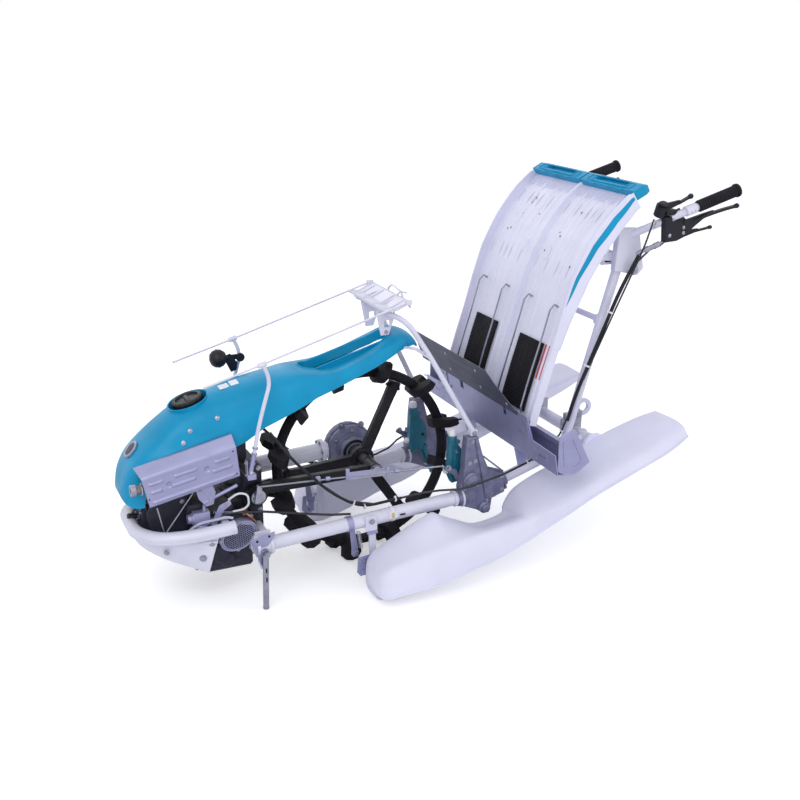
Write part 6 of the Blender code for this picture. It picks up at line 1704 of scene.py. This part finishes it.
def build_cable_ties():
    run = [at(*place) for place in CABLE_RUN]

    def on_run(i, t):
        """The place at a fraction along one span of the run, and the span itself."""
        return run[i].lerp(run[i + 1], t), run[i + 1] - run[i]

    ties = [(*on_run(i, t), size) for i, t, size in (
        (12, 0.8, 1.6), (12, 0.28, 1.6), (2, 0.75, 1.25), (3, 0.1, 1.25), (3, 0.85, 1.25), (9, 0.3, 1.0),
        (10, 0.6, 1.0))]
    fit("cable_ties", "cable_ties", flip(ties), "white_nylon", factor=sizes().cable_tie)
    # A thicker outer hose guards the run past the engine and the bundle up the post.
    sleeves = [tube(bent(run[first:last + 1], 0.05), radius, 12)
               for first, last, radius in ((0, 4, 0.0046), (11, 14, 0.006))]
    cuff = ((-0.012, 0.0046), (-0.01, 0.0054), (0.01, 0.0054), (0.012, 0.0046))
    sleeves += [turned(cuff, *on_run(i, t), 14) for i, t in ((9, 0.5), (14, 0.75))]
    piece("cable_sleeves", [("black_plastic", both(sleeves))])


def build_rack_trim():
    clips = []
    for side in (-1, 1):
        tip = at(0.37, side * 0.1505, 0.737)
        clips.append(turned(((-0.013, 0.0068), (-0.011, 0.008), (0.011, 0.008), (0.013, 0.0068)), tip,
                            (1.0, 0.0, -0.273), 18))
        clips.append(block((-0.108, -0.088), (side * 0.15 - 0.006, side * 0.15 + 0.006),
                           (0.866, 0.88), 0.001))
    folds = [strip([at(x, -0.148, z), at(x, 0.148, z)], 0.003, 0.0065, UP)
             for x, z in ((-0.0225, 0.8515), (-0.1045, 0.8722))]
    folds += [strip([at(-0.03, y, 0.8536), at(-0.056, y, 0.8536), at(-0.098, y, 0.8727)], 0.007, 0.0018)
              for y in (-0.11, -0.04, 0.04, 0.11)]
    piece("rack_clips", [("white_paint", clips + folds)])
    spots = [(at(x, y, z), (0.0, s, 0.0), 0.0045) for s, y in ((1, 0.0622), (-1, -0.0622))
             for x, z in ((-0.04, 0.842), (-0.086, 0.856), (-0.062, 0.762))]
    spots += [(at(-0.301, s * (TRACK_Y + 0.0072), 0.44), (0.0, s, 0.0), 0.006) for s in (-1, 1)]
    fit("rack_bolts", "hex_bolts", spots)
    centre, facing = (0.424, -0.1365, 0.683), (0.97, 0.0, -0.1)
    knob = [turned(((-0.0275, 0.006), (-0.024, 0.0165), (-0.013, 0.0262), (0.0, 0.0292), (0.013, 0.0262),
                    (0.0225, 0.018), (0.0265, 0.006)), at(*centre), facing, 40),
            ring_band(at(0.4235, *centre[1:]), facing, 0.0285, 0.0298, 0.0018, 48)]
    piece("lever_knob", [("black_plastic", knob)], smooth=60.0)


def build_stand_trim():
    y = STAND_Y - 0.0145
    outline = ((0.4556, 0.228), (0.3777, 0.243), (0.38, 0.229), (0.4012, 0.198), (0.406, 0.15),
               (0.418, 0.131), (0.428, 0.15), (0.44, 0.19))
    sheet = plate(outline, (y, y + 0.0022), 0.0006)
    fold = strip([at(0.4556, y + 0.004, 0.229), at(0.44, y + 0.004, 0.19), at(0.428, y + 0.004, 0.15),
                  at(0.419, y + 0.004, 0.132)], 0.0022, 0.009, LEFT)
    piece("stand_bracket", [("silver_sheet", [sheet, fold])])
    # Painted shade of the bracket's holes: dark discs.
    holes = [(at(x, y + 0.0022, z), LEFT, r) for x, z, r in (
        (0.434, 0.22, 0.0042), (0.396, 0.23, 0.0042), (0.418, 0.16, 0.0034), (0.417, 0.146, 0.0034))]
    fit("stand_bracket_holes", "hole_shade_discs", holes, "hollow")
    fit("stand_bolts", "hex_bolts", [(at(0.413, STAND_Y + 0.0142, 0.183), LEFT, 0.0068)])
    shoe = turned(((0.0008, 0.0092), (0.002, 0.0096), (0.006, 0.0096), (0.008, 0.0091)),
                  at(0.4188, STAND_Y, 0.0), (-0.03, 0.0, 1.0), 24)
    # Painted shade of two slots in the shoe: thin dark plates.
    slot = [plaque(at(0.4155, STAND_Y + 0.0088, z), LEFT, UP, 0.016, 0.005, 0.0006) for z in (0.1, 0.13)]
    piece("stand_shoe", [("steel", [shoe]), ("hollow", slot)], "stand")


# ---------------------------------------------------------------- studio
def build_stage():
    mesh = bpy.data.meshes.new("studio_floor")
    reach = 30.0
    corners = ((-reach, -reach, 0.0), (reach, -reach, 0.0), (reach, reach, 0.0), (-reach, reach, 0.0))
    mesh.from_pydata(corners, [], [(0, 1, 2, 3)])
    material = bpy.data.materials.new("studio_floor")
    material.use_nodes = True
    tree = material.node_tree
    shader = tree.nodes["Principled BSDF"]
    hue = bpy.context.scene.transplanter_colours.floor
    place = node(tree, "ShaderNodeTexCoord").outputs["Object"]
    cloud = noise(tree, place, 1.5, 2.0)
    tint = blend_colour(tree, cloud, (*[c * 0.99 for c in hue], 1.0), (*hue, 1.0))
    tree.links.new(tint, shader.inputs["Base Color"])
    shader.inputs["Roughness"].default_value = 0.9
    path = node(tree, "ShaderNodeLightPath")
    seen = math_node(tree, "MULTIPLY", path.outputs["Is Camera Ray"], 0.37)
    shader.inputs["Emission Color"].default_value = (1.0, 1.0, 1.0, 1.0)
    tree.links.new(seen, shader.inputs["Emission Strength"])
    mesh.materials.append(material)
    linked("studio_floor", mesh)

    world = bpy.data.worlds.new("studio")
    world.use_nodes = True
    tree = world.node_tree
    back = tree.nodes["Background"]
    back.inputs["Color"].default_value = (0.93, 0.94, 1.0, 1.0)
    back.inputs["Strength"].default_value = 0.78
    white = node(tree, "ShaderNodeBackground", {"Color": (1.0, 1.0, 1.0, 1.0), "Strength": 1.0})
    path = node(tree, "ShaderNodeLightPath")
    seen = math_node(tree, "MAXIMUM", path.outputs["Is Camera Ray"], path.outputs["Is Glossy Ray"])
    seen = math_node(tree, "MAXIMUM", seen, path.outputs["Is Transmission Ray"])
    mix = node(tree, "ShaderNodeMixShader", {0: seen, 1: back.outputs[0], 2: white.outputs[0]})
    tree.links.new(mix.outputs[0], tree.nodes["World Output"].inputs["Surface"])
    bpy.context.scene.world = world

    for name, place, target, power in (
        ("key", (2.6, 3.2, 3.6), (0.2, 0.0, 0.5), 70.0),
        ("fill", (-2.6, 2.8, 2.4), (0.0, 0.0, 0.6), 22.0),
        ("far", (0.5, -3.6, 3.0), (0.0, 0.0, 0.5), 26.0),
    ):
        light = bpy.data.lights.new(name, "AREA")
        light.energy, light.size = power, 3.0
        lamp = linked(name, light)
        lamp.location = place
        lamp.rotation_euler = (Vector(target) - Vector(place)).to_track_quat("-Z", "Y").to_euler()

    camera = linked("camera", bpy.data.cameras.new("camera"))
    camera.data.lens, camera.data.sensor_width = 50.3, 36.0
    ahead = Vector((-0.391, -0.86, -0.327)).normalized()
    right = Vector((-0.91, 0.414, 0.0))
    right = (right - ahead * right.dot(ahead)).normalized()
    up = right.cross(ahead)
    camera.matrix_world = Matrix((
        (right.x, up.x, -ahead.x, 1.287 + AXLE.x), (right.y, up.y, -ahead.y, 3.133),
        (right.z, up.z, -ahead.z, 1.7), (0.0, 0.0, 0.0, 1.0)))
    bpy.context.scene.camera = camera
    bpy.context.scene.view_settings.view_transform = "Standard"


# ---------------------------------------------------------------- operators
class TRANSPLANTER_OT_finish_parts(bpy.types.Operator):
    """Make the finishes and put them on the model's own parts."""

    bl_idname = "transplanter.finish_parts"
    bl_label = "Part finishes"

    def execute(self, context):
        finish_parts()
        return {"FINISHED"}


class TRANSPLANTER_OT_hood(bpy.types.Operator):
    """Teal hood with its handle slot, filler seat, screws and nose roundel."""

    bl_idname = "transplanter.hood"
    bl_label = "Hood"

    def execute(self, context):
        build_hood()
        return {"FINISHED"}


class TRANSPLANTER_OT_fuel_cap(bpy.types.Operator):
    """Fluted filler cap."""

    bl_idname = "transplanter.fuel_cap"
    bl_label = "Fuel cap"

    def execute(self, context):
        build_fuel_cap()
        return {"FINISHED"}


class TRANSPLANTER_OT_exhaust_guard(bpy.types.Operator):
    """Pressed guard beside the muffler, its stays and the outlet."""

    bl_idname = "transplanter.exhaust_guard"
    bl_label = "Exhaust guard"

    def execute(self, context):
        build_exhaust_guard()
        return {"FINISHED"}


class TRANSPLANTER_OT_bumper(bpy.types.Operator):
    """Rolled bumper band and skirt with its bolts."""

    bl_idname = "transplanter.bumper"
    bl_label = "Front bumper"

    def execute(self, context):
        build_bumper()
        return {"FINISHED"}


class TRANSPLANTER_OT_engine(bpy.types.Operator):
    """Carburettor, levers, fins, grille and bolts of the engine."""

    bl_idname = "transplanter.engine"
    bl_label = "Engine fittings"

    def execute(self, context):
        build_engine_fittings()
        return {"FINISHED"}


class TRANSPLANTER_OT_gearbox(bpy.types.Operator):
    """Post brackets, bands and bolts of the front gearbox."""

    bl_idname = "transplanter.gearbox"
    bl_label = "Gearbox fittings"

    def execute(self, context):
        build_gearbox_fittings()
        return {"FINISHED"}


class TRANSPLANTER_OT_drive(bpy.types.Operator):
    """Bolts, rings and nuts of the chain case, gearcase and axle."""

    bl_idname = "transplanter.drive"
    bl_label = "Drive fittings"

    def execute(self, context):
        build_drive_fittings()
        return {"FINISHED"}


class TRANSPLANTER_OT_wheel(bpy.types.Operator):
    """Spoke ridges, rim lines and hub bolts."""

    bl_idname = "transplanter.wheel"
    bl_label = "Wheel fittings"

    def execute(self, context):
        build_wheel_fittings()
        return {"FINISHED"}


class TRANSPLANTER_OT_tray(bpy.types.Operator):
    """Flutes, stripe, painted shade of drain holes, label and cap ridges of the seedling tray."""

    bl_idname = "transplanter.tray"
    bl_label = "Tray trim"

    def execute(self, context):
        build_tray_trim()
        return {"FINISHED"}


class TRANSPLANTER_OT_belts(bpy.types.Operator):
    """Bars and studs of the two feed belts."""

    bl_idname = "transplanter.belts"
    bl_label = "Belt bars"

    def execute(self, context):
        build_belt_bars()
        return {"FINISHED"}


class TRANSPLANTER_OT_guide(bpy.types.Operator):
    """Bolts, rivets and folds of the seedling guide and its shield."""

    bl_idname = "transplanter.guide"
    bl_label = "Guide fittings"

    def execute(self, context):
        build_guide_fittings()
        return {"FINISHED"}


class TRANSPLANTER_OT_planters(bpy.types.Operator):
    """Covers, collars and bolts of the planter cases, cranks and arms."""

    bl_idname = "transplanter.planters"
    bl_label = "Planter fittings"

    def execute(self, context):
        build_planter_fittings()
        return {"FINISHED"}


class TRANSPLANTER_OT_floats(bpy.types.Operator):
    """Rims, nose brackets and bolts of the two floats."""

    bl_idname = "transplanter.floats"
    bl_label = "Float trim"

    def execute(self, context):
        build_float_trim()
        return {"FINISHED"}


class TRANSPLANTER_OT_frame_fittings(bpy.types.Operator):
    """Tube rings, weld beads, bolts, clamps and the tag of the frame."""

    bl_idname = "transplanter.frame_fittings"
    bl_label = "Frame fittings"

    def execute(self, context):
        build_frame_fittings()
        return {"FINISHED"}


class TRANSPLANTER_OT_handles(bpy.types.Operator):
    """Grip rings, collars, adjusters and knobs of the handles."""

    bl_idname = "transplanter.handles"
    bl_label = "Handle trim"

    def execute(self, context):
        build_handle_trim()
        return {"FINISHED"}


class TRANSPLANTER_OT_cables(bpy.types.Operator):
    """Ties and sleeves along the cables."""

    bl_idname = "transplanter.cables"
    bl_label = "Cable ties"

    def execute(self, context):
        build_cable_ties()
        return {"FINISHED"}


class TRANSPLANTER_OT_rack(bpy.types.Operator):
    """Clips, folds and bolts of the mat rack and the lever's knob."""

    bl_idname = "transplanter.rack"
    bl_label = "Rack trim"

    def execute(self, context):
        build_rack_trim()
        return {"FINISHED"}


class TRANSPLANTER_OT_stand(bpy.types.Operator):
    """Bracket, bolts and shoe of the prop stand."""

    bl_idname = "transplanter.stand"
    bl_label = "Stand trim"

    def execute(self, context):
        build_stand_trim()
        return {"FINISHED"}


class TRANSPLANTER_OT_stage(bpy.types.Operator):
    """Floor, background, lamps and camera."""

    bl_idname = "transplanter.stage"
    bl_label = "Studio"

    def execute(self, context):
        build_stage()
        return {"FINISHED"}


OPERATORS = (
    TRANSPLANTER_OT_finish_parts,
    TRANSPLANTER_OT_hood,
    TRANSPLANTER_OT_fuel_cap,
    TRANSPLANTER_OT_exhaust_guard,
    TRANSPLANTER_OT_bumper,
    TRANSPLANTER_OT_engine,
    TRANSPLANTER_OT_gearbox,
    TRANSPLANTER_OT_drive,
    TRANSPLANTER_OT_wheel,
    TRANSPLANTER_OT_tray,
    TRANSPLANTER_OT_belts,
    TRANSPLANTER_OT_guide,
    TRANSPLANTER_OT_planters,
    TRANSPLANTER_OT_floats,
    TRANSPLANTER_OT_frame_fittings,
    TRANSPLANTER_OT_handles,
    TRANSPLANTER_OT_cables,
    TRANSPLANTER_OT_rack,
    TRANSPLANTER_OT_stand,
    TRANSPLANTER_OT_stage,
)


class TRANSPLANTER_PT_build(bpy.types.Panel):
    """Steps that finish the transplanter, in order."""

    bl_label = "Rice transplanter"
    bl_idname = "TRANSPLANTER_PT_build"
    bl_space_type = "VIEW_3D"
    bl_region_type = "UI"
    bl_category = "Transplanter"

    def draw(self, context):
        column = self.layout.column(align=True)
        for operator in OPERATORS:
            column.operator(operator.bl_idname)
        for group in (context.scene.transplanter_sizes, context.scene.transplanter_colours):
            column = self.layout.column(align=True)
            for name in group.__annotations__:
                column.prop(group, name)


CLASSES = (TransplanterColours, TransplanterSizes) + OPERATORS + (TRANSPLANTER_PT_build,)


def register():
    for cls in CLASSES:
        bpy.utils.register_class(cls)
    bpy.types.Scene.transplanter_colours = PointerProperty(type=TransplanterColours)
    bpy.types.Scene.transplanter_sizes = PointerProperty(type=TransplanterSizes)


def unregister():
    del bpy.types.Scene.transplanter_sizes
    del bpy.types.Scene.transplanter_colours
    for cls in reversed(CLASSES):
        bpy.utils.unregister_class(cls)


def main():
    register()
    for operator in OPERATORS:
        group, name = operator.bl_idname.split(".")
        getattr(getattr(bpy.ops, group), name)()


if __name__ == "__main__":
    main()
